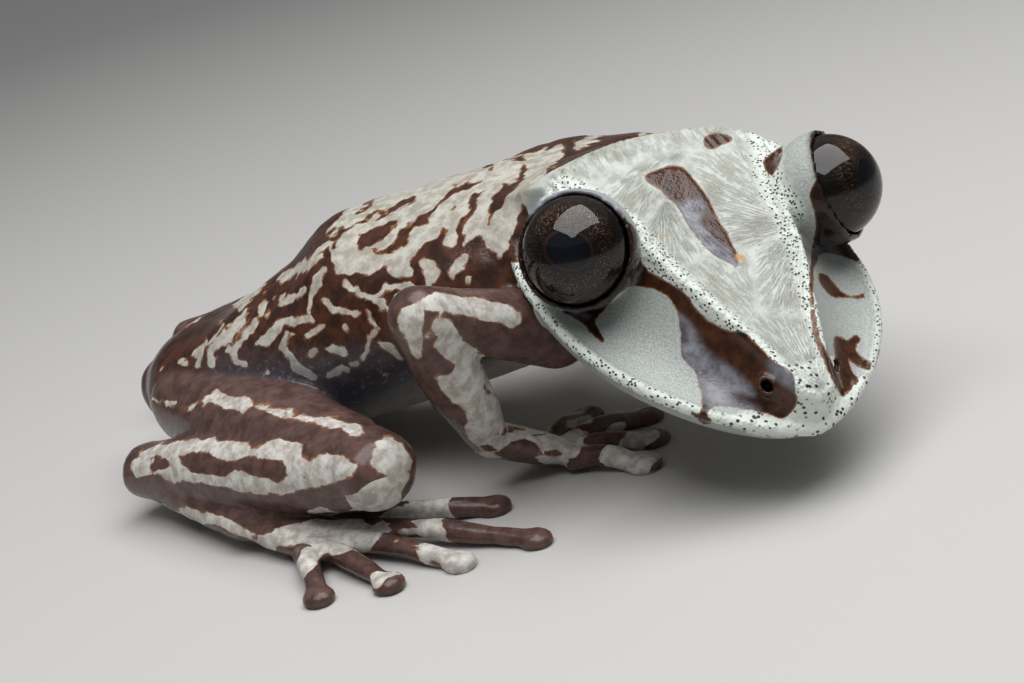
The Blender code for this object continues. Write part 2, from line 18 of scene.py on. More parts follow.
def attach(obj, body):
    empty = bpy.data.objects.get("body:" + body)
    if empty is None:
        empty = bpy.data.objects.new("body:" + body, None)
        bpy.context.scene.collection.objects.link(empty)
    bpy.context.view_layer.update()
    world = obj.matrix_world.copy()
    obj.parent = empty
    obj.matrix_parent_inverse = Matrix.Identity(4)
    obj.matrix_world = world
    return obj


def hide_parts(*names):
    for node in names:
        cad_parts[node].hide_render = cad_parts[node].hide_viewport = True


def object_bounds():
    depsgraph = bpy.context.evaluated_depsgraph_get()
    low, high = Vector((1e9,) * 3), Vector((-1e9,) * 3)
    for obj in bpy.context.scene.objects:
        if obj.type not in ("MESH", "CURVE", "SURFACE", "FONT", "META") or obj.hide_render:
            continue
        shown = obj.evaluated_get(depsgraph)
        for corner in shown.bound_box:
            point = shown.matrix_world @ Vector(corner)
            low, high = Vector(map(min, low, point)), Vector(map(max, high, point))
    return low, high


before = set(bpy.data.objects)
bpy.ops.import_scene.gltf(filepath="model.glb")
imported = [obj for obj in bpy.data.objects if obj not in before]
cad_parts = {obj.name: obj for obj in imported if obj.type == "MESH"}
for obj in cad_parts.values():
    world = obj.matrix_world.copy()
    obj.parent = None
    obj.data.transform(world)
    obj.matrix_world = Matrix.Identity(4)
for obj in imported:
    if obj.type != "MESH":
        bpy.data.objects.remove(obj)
cad_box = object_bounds()

# The skull is broad and flat, with its skin fused to the bone: a casque with a rear rim, two crests that
# run to the snout, hollow cheeks below them and a flared upper lip. Half of it is shaped row by row from
# the middle of the casque to the chin, then mirrored and closed at the rear.
MM = 0.001
WELD = 1e-4
EYE_MIDDLE = (30.1, -5.6, 17.1)
HEAD_YAW = -45.8
HEAD_PITCH = 26.8
HEAD_ROLL = -6.4
SNOUT_X = 15.9
HEAD_REAR_X = -9.4
HEAD_HUB = (-11.0, 0.0, -3.5)
LIP_HALF_WIDTH = 11.85
LIP_WIDEST_X = -2.0
LIP_REAR_NARROWING = 0.16
LIP_Z = -4.9
LIP_TIP_DROP = 0.6
LIP_DROP_FROM_X = 6.0
LIP_ROUNDING = (2.4, 0.7)
CASQUE_REAR_X = -8.7
CASQUE_CORNER_X = -6.4
CASQUE_BOW = 0.9
CASQUE_TIP_X = 15.1
CASQUE_FRONT_X = 13.2
CREST_HALF_WIDTHS = ((-6.4, 8.0), (-3.9, 7.0), (-0.4, 5.6), (2.9, 5.0), (5.9, 4.05), (8.6, 3.05),
                     (10.9, 2.2), (12.7, 1.6), (14.1, 1.15), (14.8, 0.75), (15.1, 0.0))
CREST_HEIGHTS = ((-8.7, 0.4), (-4.0, 0.8), (0.0, 0.4), (3.0, 0.0), (6.0, -0.5), (9.0, -1.15),
                 (12.0, -1.9), (14.0, -2.5), (15.1, -3.2))
PLATEAU_DIPS = ((-8.7, -0.5), (-4.0, 0.3), (2.0, 0.75), (6.0, 0.8), (9.0, 0.6), (12.0, 0.25), (13.2, 0.0))
CHIN_HEIGHTS = ((-10.0, -9.6), (-3.0, -9.6), (6.0, -9.0), (12.0, -8.3), (13.2, -8.0))
CHIN_REAR_X = -8.4
CHIN_FRONT_X = 10.6
CHEEK_HOLLOWS = ((0.0, 1.0), (0.12, 1.7), (0.3, 2.6), (0.5, 2.8), (0.8, 2.4), (0.9, 1.9), (1.0, 1.3))
MOUTH_CORNER = 0.16
JAW_INSET_REAR = 0.3
JAW_INSET_FRONT = 1.5
LIP_BEAD = 0.45
LIP_BEAD_SAG = 0.3
LIP_BEAD_TURNS = (125, 95, 65, 35, 5, -25, -55, -85)
LIP_UNDERSIDE = ((0.9, 0.55), (1.3, 0.62))
JAW_ROWS = ((0.3, 0.95), (0.02, 1.2), (0.05, 1.5), (0.4, 2.1), (1.1, 2.8), (1.9, 3.3))
HEAD_COLUMNS = 120
PLATEAU_ROWS = 18
CHEEK_ROWS = 24
CHIN_ROWS = 12


def spline(knots, values, at):
    """A smooth curve through the values at the knots."""
    knots = np.asarray(knots, float)
    values = np.asarray(values, float)
    slopes = np.gradient(values, knots, axis=0)
    first = int(np.clip(np.searchsorted(knots, at, side="right") - 1, 0, len(knots) - 2))
    span = knots[first + 1] - knots[first]
    t = min(max((at - knots[first]) / span, 0.0), 1.0)
    start = (1 + 2 * t) * (1 - t) ** 2 * values[first] + t * (1 - t) ** 2 * span * slopes[first]
    end = t * t * (3 - 2 * t) * values[first + 1] - t * t * (1 - t) * span * slopes[first + 1]
    return start + end


def profile(stations, x):
    """One size at x, from its (x, size) stations."""
    knots, values = zip(*stations)
    return float(spline(knots, values, x))


def mix(a, b, share):
    """What lies between two numbers or places."""
    return a + (b - a) * share


def add_object(name, bm):
    """Turns a bmesh into an object as it is."""
    mesh = bpy.data.meshes.new(name)
    bm.to_mesh(mesh)
    bm.free()
    obj = bpy.data.objects.new(name, mesh)
    bpy.context.scene.collection.objects.link(obj)
    return obj


def closed_object(name, bm):
    """Turns a closed bmesh into an object with its faces pointing out."""
    bmesh.ops.recalc_face_normals(bm, faces=bm.faces)
    if bm.calc_volume(signed=True) < 0:
        bmesh.ops.reverse_faces(bm, faces=bm.faces)
    return add_object(name, bm)


def head_place():
    """The matrix that sets the head on the body."""
    turn = Matrix.Rotation(radians(HEAD_YAW), 4, "Z")
    nod = Matrix.Rotation(radians(HEAD_PITCH), 4, "Y")
    roll = Matrix.Rotation(radians(HEAD_ROLL), 4, "X")
    return Matrix.Translation(EYE_MIDDLE) @ turn @ nod @ roll


def lip_point(u):
    """The rim of the upper lip, from the rear of the head at u = 0 round to the snout at u = 1."""
    x = mix(HEAD_REAR_X, SNOUT_X, sin(u * pi / 2))
    if x < LIP_WIDEST_X:
        narrowing = LIP_REAR_NARROWING * ((LIP_WIDEST_X - x) / (LIP_WIDEST_X - HEAD_REAR_X)) ** 2
        half_width = LIP_HALF_WIDTH * (1 - narrowing)
    else:
        forward = min((x - LIP_WIDEST_X) / (SNOUT_X - LIP_WIDEST_X), 1.0)
        half_width = LIP_HALF_WIDTH * (1 - forward ** LIP_ROUNDING[0]) ** LIP_ROUNDING[1]
    drop = LIP_TIP_DROP * max(0.0, (x - LIP_DROP_FROM_X) / (SNOUT_X - LIP_DROP_FROM_X)) ** 2
    return Vector((x, half_width, LIP_Z - drop))


def crest_point(u):
    """The crest of the canthal ridge, which runs past the eye to the rear corner of the casque."""
    x = mix(CASQUE_CORNER_X, CASQUE_TIP_X, sin(u * pi / 2))
    return Vector((x, max(profile(CREST_HALF_WIDTHS, x), 0.0), profile(CREST_HEIGHTS, x)))


def casque_middle(u):
    """The middle line of the casque, from its rear rim to the snout."""
    x = mix(CASQUE_REAR_X, CASQUE_FRONT_X, sin(u * pi / 2))
    return Vector((x, 0.0, profile(CREST_HEIGHTS, x) - profile(PLATEAU_DIPS, x)))


def chin_middle(u):
    """The middle line of the chin, from the throat to the front of the jaw."""
    x = mix(CHIN_REAR_X, CHIN_FRONT_X, sin(u * pi / 2))
    return Vector((x, 0.0, profile(CHIN_HEIGHTS, x)))


def inset(point, by):
    """A point of the lip's outline drawn in towards the middle of the head, level."""
    x = mix(HEAD_REAR_X, point.x, 1 - by / (SNOUT_X - HEAD_REAR_X))
    return Vector((x, point.y * (1 - by / LIP_HALF_WIDTH), point.z))


def casque_point(u, share):
    """A point of the casque, from its middle at share 0 to the crest at share 1."""
    middle = casque_middle(u)
    crest = crest_point(u)
    point = mix(middle, crest, share)
    point.x -= CASQUE_BOW * 4 * share * (1 - share) * (1 - u) ** 3
    point.z = mix(middle.z, crest.z, share ** 3)
    return point


def head_rows(u):
    """The points of one half section of the head, from the middle of the casque to the chin."""
    crest = crest_point(u)
    lip = lip_point(u)
    rows = [casque_point(u, row / PLATEAU_ROWS) for row in range(PLATEAU_ROWS)]
    hollow = profile(CHEEK_HOLLOWS, u)
    for row in range(CHEEK_ROWS):
        share = row / CHEEK_ROWS
        point = mix(crest, inset(lip, LIP_BEAD), share)
        point.z = mix(crest.z, lip.z, 1 - (1 - share) ** hollow)
        rows.append(point)
    opening = min(u / MOUTH_CORNER, 1.0)
    for turn in LIP_BEAD_TURNS:
        inwards = LIP_BEAD * (1 - cos(radians(turn)))
        rows.append(inset(lip, inwards) + Vector((0, 0, LIP_BEAD * (sin(radians(turn)) - LIP_BEAD_SAG))))
    for inwards, down in LIP_UNDERSIDE:
        rows.append(inset(lip, inwards * opening) - Vector((0, 0, down)))
    jaw_inset = mix(JAW_INSET_REAR, JAW_INSET_FRONT, u)
    for inwards, down in JAW_ROWS:
        rows.append(inset(lip, inwards + jaw_inset) - Vector((0, 0, down)))
    jaw = rows[-1]
    chin = chin_middle(u)
    for row in range(1, CHIN_ROWS + 1):
        share = row / CHIN_ROWS
        point = mix(jaw, chin, share)
        point.z = mix(jaw.z, chin.z, sqrt(1 - (1 - share) ** 2))
        rows.append(point)
    return rows


def head_shell():
    """The closed head without its eyes: a grid set on the sections, mirrored, and drawn to a point behind."""
    sections = [head_rows(column / HEAD_COLUMNS) for column in range(HEAD_COLUMNS + 1)]
    rows = len(sections[0])
    bm = bmesh.new()
    bmesh.ops.create_grid(bm, x_segments=HEAD_COLUMNS, y_segments=rows - 1, size=1.0)
    for vert in bm.verts:
        column = round((vert.co.x + 1) / 2 * HEAD_COLUMNS)
        row = round((vert.co.y + 1) / 2 * (rows - 1))
        vert.co = sections[column][row]
        if row in (0, rows - 1) or column == HEAD_COLUMNS:
            vert.co.y = 0.0
    bmesh.ops.mirror(bm, geom=bm.verts[:] + bm.edges[:] + bm.faces[:], axis="Y", merge_dist=WELD)
    bmesh.ops.remove_doubles(bm, verts=bm.verts, dist=WELD)
    rim = [edge for edge in bm.edges if edge.is_boundary]
    back = bmesh.ops.extrude_edge_only(bm, edges=rim)["geom"]
    hub = [item for item in back if isinstance(item, bmesh.types.BMVert)]
    bmesh.ops.pointmerge(bm, verts=hub, merge_co=HEAD_HUB)
    return closed_object("head_form", bm)


head_form = head_shell()

# The lids are a ring of soft skin close round each eyeball, and the nostrils are low mounds, each with a
# small hole. Lids and mounds are set into the head, and the sockets and holes are cut out of it.
EYE_RADIUS = 3.645
EYE_Y = 9.57
EYE_TURN = 45.0
EYE_LIFT = 36.0
LID_RADIUS = 4.02
LID_LEAN = 10.0
LID_OPENING = 79.0
SOCKET_RADIUS = 3.7
SOCKET_FACES = (96, 48)
NOSTRIL = (12.9, 2.5, -3.35)
NOSTRIL_WAY = (0.55, 0.5, 0.65)
NOSTRIL_MOUND = (0.74, 0.6, 0.5)
NOSTRIL_HOLE = (0.5, 0.36)
NOSTRIL_DEPTH = 1.8
NOSTRIL_FLARE = (0.8, 1.1)
NOSTRIL_SIDES = 24
LID_ROOT = (-4.3, 8.2, -1.0)
LID_ROOT_SIZE = (2.8, 1.9, 1.5)
BLOB_FINENESS = 4


def eye_way(side, lean=0.0):
    """The direction in which an eye looks out, in the head's own frame. The side is 1 on the left."""
    turn = radians(EYE_TURN + lean)
    lift = radians(EYE_LIFT)
    return Vector((cos(lift) * cos(turn), side * cos(lift) * sin(turn), sin(lift)))


def turned_to(way):
    """The rotation that turns +Z to a direction."""
    return Vector((0, 0, 1)).rotation_difference(Vector(way)).to_matrix().to_4x4()


def eye_place(side):
    """The matrix that puts a ball's pole on the way that an eye looks."""
    return Matrix.Translation((0, side * EYE_Y, 0)) @ turned_to(eye_way(side))


def ball_at_eye(side, radius):
    """A ball about the middle of an eye, with its pole on the way that the eye looks."""
    around, along = SOCKET_FACES
    bm = bmesh.new()
    bmesh.ops.create_uvsphere(bm, u_segments=around, v_segments=along, radius=radius, matrix=eye_place(side))
    return bm


def socket(side):
    """What is cut out of the head for the eyeball."""
    return closed_object("socket", ball_at_eye(side, SOCKET_RADIUS))


def lid(side):
    """The ring of lids round one eye: a ball cut off flat, with its opening turned a little outwards."""
    bm = ball_at_eye(side, LID_RADIUS)
    way = eye_way(side, LID_LEAN)
    edge = Vector((0, side * EYE_Y, 0)) + way * LID_RADIUS * cos(radians(LID_OPENING))
    cut = bmesh.ops.bisect_plane(bm, geom=bm.verts[:] + bm.edges[:] + bm.faces[:], dist=WELD,
                                 plane_co=edge, plane_no=way, clear_outer=True)
    rim = [item for item in cut["geom_cut"] if isinstance(item, bmesh.types.BMEdge)]
    bmesh.ops.holes_fill(bm, edges=rim, sides=0)
    return closed_object("lid", bm)


def nostril_place(side):
    """The matrix that sets a nostril's pieces on the snout, with their long side along the head."""
    x, y, z = NOSTRIL
    way = Vector(NOSTRIL_WAY).normalized()
    way.y *= side
    along = Vector((1, 0, 0)) - way * way.x
    along.normalize()
    turn = Matrix((along, way.cross(along), way)).transposed().to_4x4()
    return Matrix.Translation((x, side * y, z)) @ turn


def blob(name, place, half_sizes):
    """A smooth oval body, set and turned by its place."""
    shape = place @ Matrix.Diagonal((*half_sizes, 1))
    bm = bmesh.new()
    bmesh.ops.create_icosphere(bm, subdivisions=BLOB_FINENESS, radius=1.0, matrix=shape)
    return closed_object(name, bm)


def nostril_mound(side):
    """The low mound that a nostril opens in."""
    return blob("mound", nostril_place(side), NOSTRIL_MOUND)


def nostril_hole(side):
    """What is cut out of the mound: an oval hole that widens outwards."""
    oval = Matrix.Diagonal((*NOSTRIL_HOLE, 1, 1))
    inner, outer = NOSTRIL_FLARE
    bm = bmesh.new()
    bmesh.ops.create_cone(bm, cap_ends=True, segments=NOSTRIL_SIDES, radius1=inner, radius2=outer,
                          depth=NOSTRIL_DEPTH, matrix=nostril_place(side) @ oval)
    return closed_object("hole", bm)


def lid_root(side):
    """The soft swelling that joins a lid to the rear corner of the casque."""
    x, y, z = LID_ROOT
    return blob("root", Matrix.Translation((x, side * y, z)), LID_ROOT_SIZE)


def remove(obj):
    """Deletes an object with its mesh."""
    mesh = obj.data
    bpy.data.objects.remove(obj)
    bpy.data.meshes.remove(mesh)


def evaluated(obj):
    """Gives the object the mesh that its modifiers make, and drops them."""
    graph = bpy.context.evaluated_depsgraph_get()
    made = bpy.data.meshes.new_from_object(obj.evaluated_get(graph))
    obj.modifiers.clear()
    old = obj.data
    obj.data = made
    bpy.data.meshes.remove(old)


def combine(obj, others, operation):
    """Joins the other closed objects to obj, or cuts them from it, and removes them."""
    for other in others:
        step = obj.modifiers.new("combine", "BOOLEAN")
        step.operation = operation
        step.object = other
        step.solver = "MANIFOLD"
        evaluated(obj)
        remove(other)


combine(head_form, [make(side) for make in (lid_root, lid, nostril_mound) for side in (1, -1)], "UNION")
combine(head_form, [make(side) for make in (socket, nostril_hole) for side in (1, -1)], "DIFFERENCE")
head_form.data.transform(head_place())

# The trunk is slim and soft, with loose skin over the pelvis, and a short thick neck grows into it from
# the outline of the head's rear. Both are smooth closed forms that sink into each other.
TRUNK = (
    ((-21.0, 0.4, 6.2), (3.2, 2.8, 3.0)),
    ((-18.0, 0.2, 6.8), (6.0, 4.2, 4.6)),
    ((-12.0, 0.2, 7.6), (8.4, 5.8, 6.2)),
    ((-4.0, 0.4, 9.2), (9.8, 7.0, 6.6)),
    ((3.0, 0.8, 11.0), (10.6, 8.0, 6.9)),
    ((10.0, 1.4, 12.4), (11.2, 8.0, 6.8)),
    ((16.5, 2.0, 14.0), (10.9, 7.1, 6.8)),
    ((20.8, 2.2, 15.7), (10.4, 5.6, 6.4)),
    ((23.6, 1.6, 16.0), (9.4, 4.3, 5.6)),
)
NECK_RINGS = (
    ((1.6, -1.7, -0.7), 0.8),
    ((0.0, 0.0, 0.0), 1.0),
    ((-4.0, 1.9, -0.8), 1.0),
    ((-9.0, 3.2, -2.4), 0.9),
    ((-14.0, 2.8, -4.4), 0.5),
)
TORSO_HUMPS = (
    ((0.5, -4.6, 16.2), 4.5, 1.0),
    ((0.5, 5.8, 16.2), 4.5, 1.0),
    ((16.5, -4.5, 20.4), 5.0, 0.6),
    ((15.0, 7.5, 20.4), 5.0, 0.8),
    ((-17.0, -6.0, 6.5), 4.5, 0.8),
    ((-17.0, 6.4, 6.5), 4.5, 0.8),
)
SACRAL_HUMPS = (
    ((-1.0, 0.6, 16.5), 6.0, 1.2),
    ((-12.0, 0.2, 14.0), 6.0, -0.8),
)
TRUNK_SIDES = 72
TRUNK_RINGS = 90
DOME_TURNS = (10.0, 22.0, 34.0, 46.0, 58.0, 70.0, 82.0)
DOME_DEPTH = 0.75
TANGENT_STEP = 0.05


def frame_along(tangent, up):
    """Side and up vectors of a section across the tangent."""
    side = up.cross(tangent).normalized()
    return side, tangent.cross(side)


def dome_rings(station, sign):
    """The smaller rings of a rounded end, and its tip."""
    here, tangent, size = station
    depth = DOME_DEPTH * min(size)
    rings = []
    for turn in DOME_TURNS:
        ahead = here + tangent * sign * depth * sin(radians(turn))
        rings.append((ahead, tangent, size * cos(radians(turn))))
    return rings, here + tangent * sign * depth


def lofted(name, centres, sizes, sides, rings):
    """A closed body of oval sections along a smooth path, with rounded ends.

    The centres are points on the path. The sizes at each are its half-width, rise and drop.
    """
    knots = np.cumsum([0.0] + [(Vector(b) - Vector(a)).length for a, b in zip(centres, centres[1:])])
    stations = []
    for at in np.linspace(knots[0], knots[-1], rings):
        here = Vector(spline(knots, centres, at))
        ahead = Vector(spline(knots, centres, at + TANGENT_STEP))
        tangent = ahead - Vector(spline(knots, centres, at - TANGENT_STEP))
        stations.append((here, tangent.normalized(), Vector(spline(knots, sizes, at))))
    first_rings, first_tip = dome_rings(stations[0], -1)
    last_rings, last_tip = dome_rings(stations[-1], 1)
    stations = first_rings[::-1] + stations + last_rings
    bm = bmesh.new()
    bmesh.ops.create_uvsphere(bm, u_segments=sides, v_segments=len(stations) + 1, radius=1.0)
    for vert in bm.verts:
        row = round(np.arccos(np.clip(vert.co.z, -1, 1)) / pi * (len(stations) + 1))
        if row == 0 or row == len(stations) + 1:
            vert.co = first_tip if row == 0 else last_tip
            continue
        here, tangent, size = stations[row - 1]
        side, lift = frame_along(tangent, Vector((0, 0, 1)))
        around = Vector((vert.co.x, vert.co.y)).normalized()
        height = size[1] if around.y > 0 else size[2]
        vert.co = here + side * around.x * size[0] + lift * around.y * height
    return closed_object(name, bm)


def raise_humps(obj, humps):
    """Moves the surface out smoothly round each hump."""
    bm = bmesh.new()
    bm.from_mesh(obj.data)
    bm.normal_update()
    moves = []
    for vert in bm.verts:
        height = 0.0
        for centre, radius, most in humps:
            near_share = 1 - min((vert.co - Vector(centre)).length / radius, 1.0)
            height += most * near_share * near_share * (3 - 2 * near_share)
        moves.append(vert.normal * height)
    for vert, move in zip(bm.verts, moves):
        vert.co += move
    bm.to_mesh(obj.data)
    bm.free()


def neck():
    """A sleeve that grows back from the outline of the head's rear into the trunk."""
    half = head_rows(0.0)
    outline = half + [Vector((point.x, -point.y, point.z)) for point in half[-2:0:-1]]
    outline = [head_place() @ point for point in outline]
    middle = sum(outline, Vector()) / len(outline)
    bm = bmesh.new()
    made = bmesh.ops.create_circle(bm, segments=len(outline), radius=1.0)
    first = list(made["verts"])
    for vert, point in zip(first, outline):
        vert.co = point
    edges = list(bm.edges)
    bmesh.ops.contextual_create(bm, geom=edges)
    rings = [first]
    for _ in NECK_RINGS[1:]:
        geom = bmesh.ops.extrude_edge_only(bm, edges=edges)["geom"]
        edges = [item for item in geom if isinstance(item, bmesh.types.BMEdge)
                 and item.is_boundary]
        verts = {vert for edge in edges for vert in edge.verts}
        ring = []
        for vert in rings[-1]:
            ring.append(next(edge.other_vert(vert) for edge in vert.link_edges
                             if edge.other_vert(vert) in verts))
        rings.append(ring)
    bmesh.ops.contextual_create(bm, geom=edges)
    for ring, (shift, share) in zip(rings, NECK_RINGS):
        for vert, point in zip(ring, outline):
            vert.co = middle + (point - middle) * share + Vector(shift)
    return closed_object("neck", bm)


trunk_centres, trunk_sizes = zip(*TRUNK)
trunk_form = lofted("trunk", trunk_centres, trunk_sizes, TRUNK_SIDES, TRUNK_RINGS)
raise_humps(trunk_form, TORSO_HUMPS + SACRAL_HUMPS)
neck_form = neck()

# The arms and legs are slender, with full forearms, thighs and shanks. Each digit ends in a round disc that
# grips. Every length is a smooth form between two joints, and they sink into each other and the trunk.
ARMS = {
    "right": {"shoulder": (18.0, -7.0, 10.8), "elbow": (13.2, -17.3, 16.4), "wrist": (12.6, -10.4, 4.2)},
    "left": {"shoulder": (18.0, 7.5, 10.8), "elbow": (12.0, 16.0, 12.0), "wrist": (18.0, 17.5, 2.6)},
}
LEGS = {
    "right": {"hip": (-15.2, -4.5, 7.0), "knee": (8.2, -18.7, 6.0), "heel": (-17.2, -10.5, 3.6),
              "end": (-4.0, -17.2, 1.8)},
    "left": {"hip": (-15.0, 5.0, 7.9), "knee": (5.0, 23.5, 7.0), "heel": (-26.0, 11.0, 6.0),
             "end": (-10.5, 17.5, 1.8)},
}
UPPER_ARM = ((2.9, 2.9, 2.9), (2.3, 2.3, 2.3), (2.0, 2.0, 2.0))
FOREARM = ((1.8, 1.8, 1.8), (2.2, 2.2, 2.2), (1.5, 1.4, 1.4))
THIGH = ((3.9, 3.2, 3.8), (4.2, 3.3, 3.7), (2.9, 2.6, 2.8))
SHANK = ((2.6, 2.6, 2.6), (3.1, 3.1, 3.1), (2.3, 2.2, 2.2))
TARSUS = ((2.0, 1.9, 1.9), (1.9, 1.6, 1.6), (1.9, 1.3, 1.3))
PALM = ((1.5, 1.4, 1.4), (2.2, 1.2, 1.3), (2.6, 0.9, 1.0))
SOLE = ((1.7, 1.3, 1.3), (2.1, 1.1, 1.2), (2.6, 0.9, 1.0))
HANDS = {
    "right": {"end": (15.6, -6.4, 1.4), "heading": 52, "spreads": (-52, -20, 4, 34),
              "lengths": (4.6, 5.8, 7.6, 6.2)},
    "left": {"end": (21.6, 15.2, 1.4), "heading": -25, "spreads": (-45, -14, 12, 48),
             "lengths": (5.6, 6.8, 6.2, 5.2)},
}
FEET = {
    "right": {"end": (1.8, -18.4, 1.1), "heading": -6, "spreads": (-48, -24, -8, 2, 22),
              "lengths": (6.0, 9.0, 12.0, 16.0, 11.0)},
    "left": {"end": (-4.5, 20.0, 1.1), "heading": 22, "spreads": (-30, -6, 4, 20, 44),
             "lengths": (11.0, 15.0, 12.0, 9.0, 6.0)},
}
DIGIT = ((0.95, 0.85, 0.85), (0.8, 0.75, 0.75), (0.75, 0.6, 0.7))
DIGIT_ROOT_Z = 0.95
DIGIT_TIP_Z = 0.5
ROOTS_HALF_WIDTH = 1.9
FINGER_ARCH = 0.35
TOE_ARCH = 0.25
FINGER_DISC = 1.35
TOE_DISC = 1.2
DISC_HALF_THICKNESS = 0.75
DISC_LENGTHENING = 1.05
DISC_LEAD = 0.55
DISC_DROP = 0.15
LIMB_SIDES = 40
LIMB_RINGS = 50
DIGIT_SIDES = 20
DIGIT_RINGS = 24


def middle_of(start, end):
    """The place half-way between two others."""
    return tuple((Vector(start) + Vector(end)) / 2)


def segment(start, end, sizes):
    """One length of a limb between two joints."""
    return lofted("limb", (start, middle_of(start, end), end), sizes, LIMB_SIDES, LIMB_RINGS)


def digit(root, tip, disc, arch):
    """A finger or toe that arches from its root to a rounded disc."""
    knuckle = (root + tip) / 2
    knuckle.z = max(root.z, tip.z) + arch
    finger = lofted("digit", (tuple(root), tuple(knuckle), tuple(tip)), DIGIT, DIGIT_SIDES, DIGIT_RINGS)
    way = tip - root
    way.z = 0
    way.normalize()
    turned = Vector((1, 0, 0)).rotation_difference(way).to_matrix().to_4x4()
    place = Matrix.Translation(tip + way * disc * DISC_LEAD - Vector((0, 0, DISC_DROP)))
    return [finger, blob("disc", place @ turned, (disc * DISC_LENGTHENING, disc, DISC_HALF_THICKNESS))]


def fan_tips(fan):
    """Roots and tips of the digits, fanned about a heading in degrees."""
    turn = radians(fan["heading"])
    tips = []
    for place, (spread, length) in enumerate(zip(fan["spreads"], fan["lengths"])):
        across = mix(-ROOTS_HALF_WIDTH, ROOTS_HALF_WIDTH, place / (len(fan["spreads"]) - 1))
        root = Vector(fan["end"]) + Vector((-sin(turn), cos(turn), 0)) * across
        root.z = DIGIT_ROOT_Z
        way = radians(fan["heading"] + spread)
        tip = root + Vector((cos(way), sin(way), 0)) * length
        tip.z = DIGIT_TIP_Z
        tips.append((root, tip))
    return tips


def fan_forms(start, fan, sizes, disc, arch):
    """The palm or sole of a hand or foot, its digits and their discs."""
    centres = (start, middle_of(start, fan["end"]), fan["end"])
    made = [lofted("palm", centres, sizes, DIGIT_SIDES, DIGIT_RINGS)]
    for root, tip in fan_tips(fan):
        made += digit(root, tip, disc, arch)
    return made


limbs = []
for side, arm in ARMS.items():
    limbs.append(segment(arm["shoulder"], arm["elbow"], UPPER_ARM))
    limbs.append(segment(arm["elbow"], arm["wrist"], FOREARM))
    limbs += fan_forms(arm["wrist"], HANDS[side], PALM, FINGER_DISC, FINGER_ARCH)
for side, leg in LEGS.items():
    limbs.append(segment(leg["hip"], leg["knee"], THIGH))
    limbs.append(segment(leg["knee"], leg["heel"], SHANK))
    limbs.append(segment(leg["heel"], leg["end"], TARSUS))
    limbs += fan_forms(leg["end"], FEET[side], SOLE, TOE_DISC, TOE_ARCH)

# One skin covers the whole frog. The forms are fused by a fine voxel remesh, and the body is smoothed so
# that the forms flow into each other like soft flesh, while the bony head keeps its edges.
FOOTPRINT_MIDDLE = (6.24, 1.11, 0.0)
VOXEL = 0.2
BODY_SMOOTHING = 12
HEAD_SMOOTHING = 2
SMOOTHING_FACTOR = 0.5
BONE_FROM_X = (-9.6, -8.2)
BONE_FROM_Z = (-11.5, -10.5)
BONE_BLEND = (-0.3, 0.3)
LID_JOIN = ((4.15, 4.5), (5.2, 6.4))
CORNER_REACH = (2.4, 1.0)
SKIN_TRIANGLES = 195000


def joined(name, objects):
    """One object of all the closed forms."""
    bm = bmesh.new()
    for obj in objects:
        bm.from_mesh(obj.data)
        remove(obj)
    return add_object(name, bm)


def surface_tree(objects):
    """A search tree of the objects' faces."""
    bm = bmesh.new()
    for obj in objects:
        bm.from_mesh(obj.data)
    tree = BVHTree.FromBMesh(bm)
    bm.free()
    return tree


def places_of(mesh):
    """The places of a mesh's vertices as an array."""
    flat = np.empty(len(mesh.vertices) * 3, np.float32)
    mesh.vertices.foreach_get("co", flat)
    return flat.reshape(-1, 3).astype(float)


def normals_of(mesh):
    """The way out of the skin at each vertex of a mesh as an array."""
    flat = np.empty(len(mesh.vertices) * 3, np.float32)
    mesh.vertices.foreach_get("normal", flat)
    return flat.reshape(-1, 3).astype(float)


def place_vertices(mesh, places):
    """Moves the vertices of a mesh to an array of places."""
    mesh.vertices.foreach_set("co", places.astype(np.float32).ravel())
    mesh.update()


def moved_by(matrix, places):
    """An array of places turned and shifted by a matrix."""
    matrix = np.array(matrix)
    return places @ matrix[:3, :3].T + matrix[:3, 3]


def in_head(places):
    """Places in the head's own frame."""
    return moved_by(head_place().inverted(), places)


def on_left(local):
    """Places of the head with those of its right half mirrored onto its left."""
    return local * (1, 0, 1) + np.abs(local * (0, 1, 0))


def ramp(values, low, high):
    """Rises smoothly from 0 at low to 1 at high."""
    share = np.clip((values - low) / (high - low), 0.0, 1.0)
    return share * share * (3 - 2 * share)


def distance_to(tree, points):
    """How far each point lies from the nearest face."""
    return np.array([tree.find_nearest(Vector(point))[3] for point in points])


def head_share(places):
    """How far each place belongs to the bony head, 0 to 1."""
    local = in_head(places)
    share = ramp(local[:, 0], *BONE_FROM_X) * ramp(local[:, 2], *BONE_FROM_Z)
    near = np.nonzero(share > 0)[0]
    nearer = distance_to(flesh_tree, places[near]) - distance_to(head_tree, places[near])
    share[near] *= ramp(nearer, *BONE_BLEND)
    return share


def from_eye(local, side):
    """How far each place of the head lies from the middle of an eye."""
    return np.linalg.norm(local - np.array((0.0, side * EYE_Y, 0.0)), axis=1)


def corner_share(local):
    """How near each place is to a rear corner of the casque, which flows into the lid beside it."""
    corner = np.array((CASQUE_CORNER_X, CREST_HALF_WIDTHS[0][1], CREST_HEIGHTS[0][1]))
    return ramp(np.linalg.norm(on_left(local) - corner, axis=1), *CORNER_REACH)


def group_of(obj, name, shares):
    """A vertex group with its weights in tenths."""
    group = obj.vertex_groups.new(name=name)
    for level in range(1, 11):
        picked = np.nonzero(np.round(shares * 10) == level)[0]
        group.add([int(index) for index in picked], level / 10, "REPLACE")


def softening(places):
    """Where the skin is softened: all over the body, and where the lids grow into the head."""
    local = in_head(places)
    soft = np.maximum(1 - head_share(places), corner_share(local))
    for side in (1, -1):
        away = from_eye(local, side)
        soft = np.maximum(soft, ramp(away, *LID_JOIN[0]) * (1 - ramp(away, *LID_JOIN[1])))
    return soft


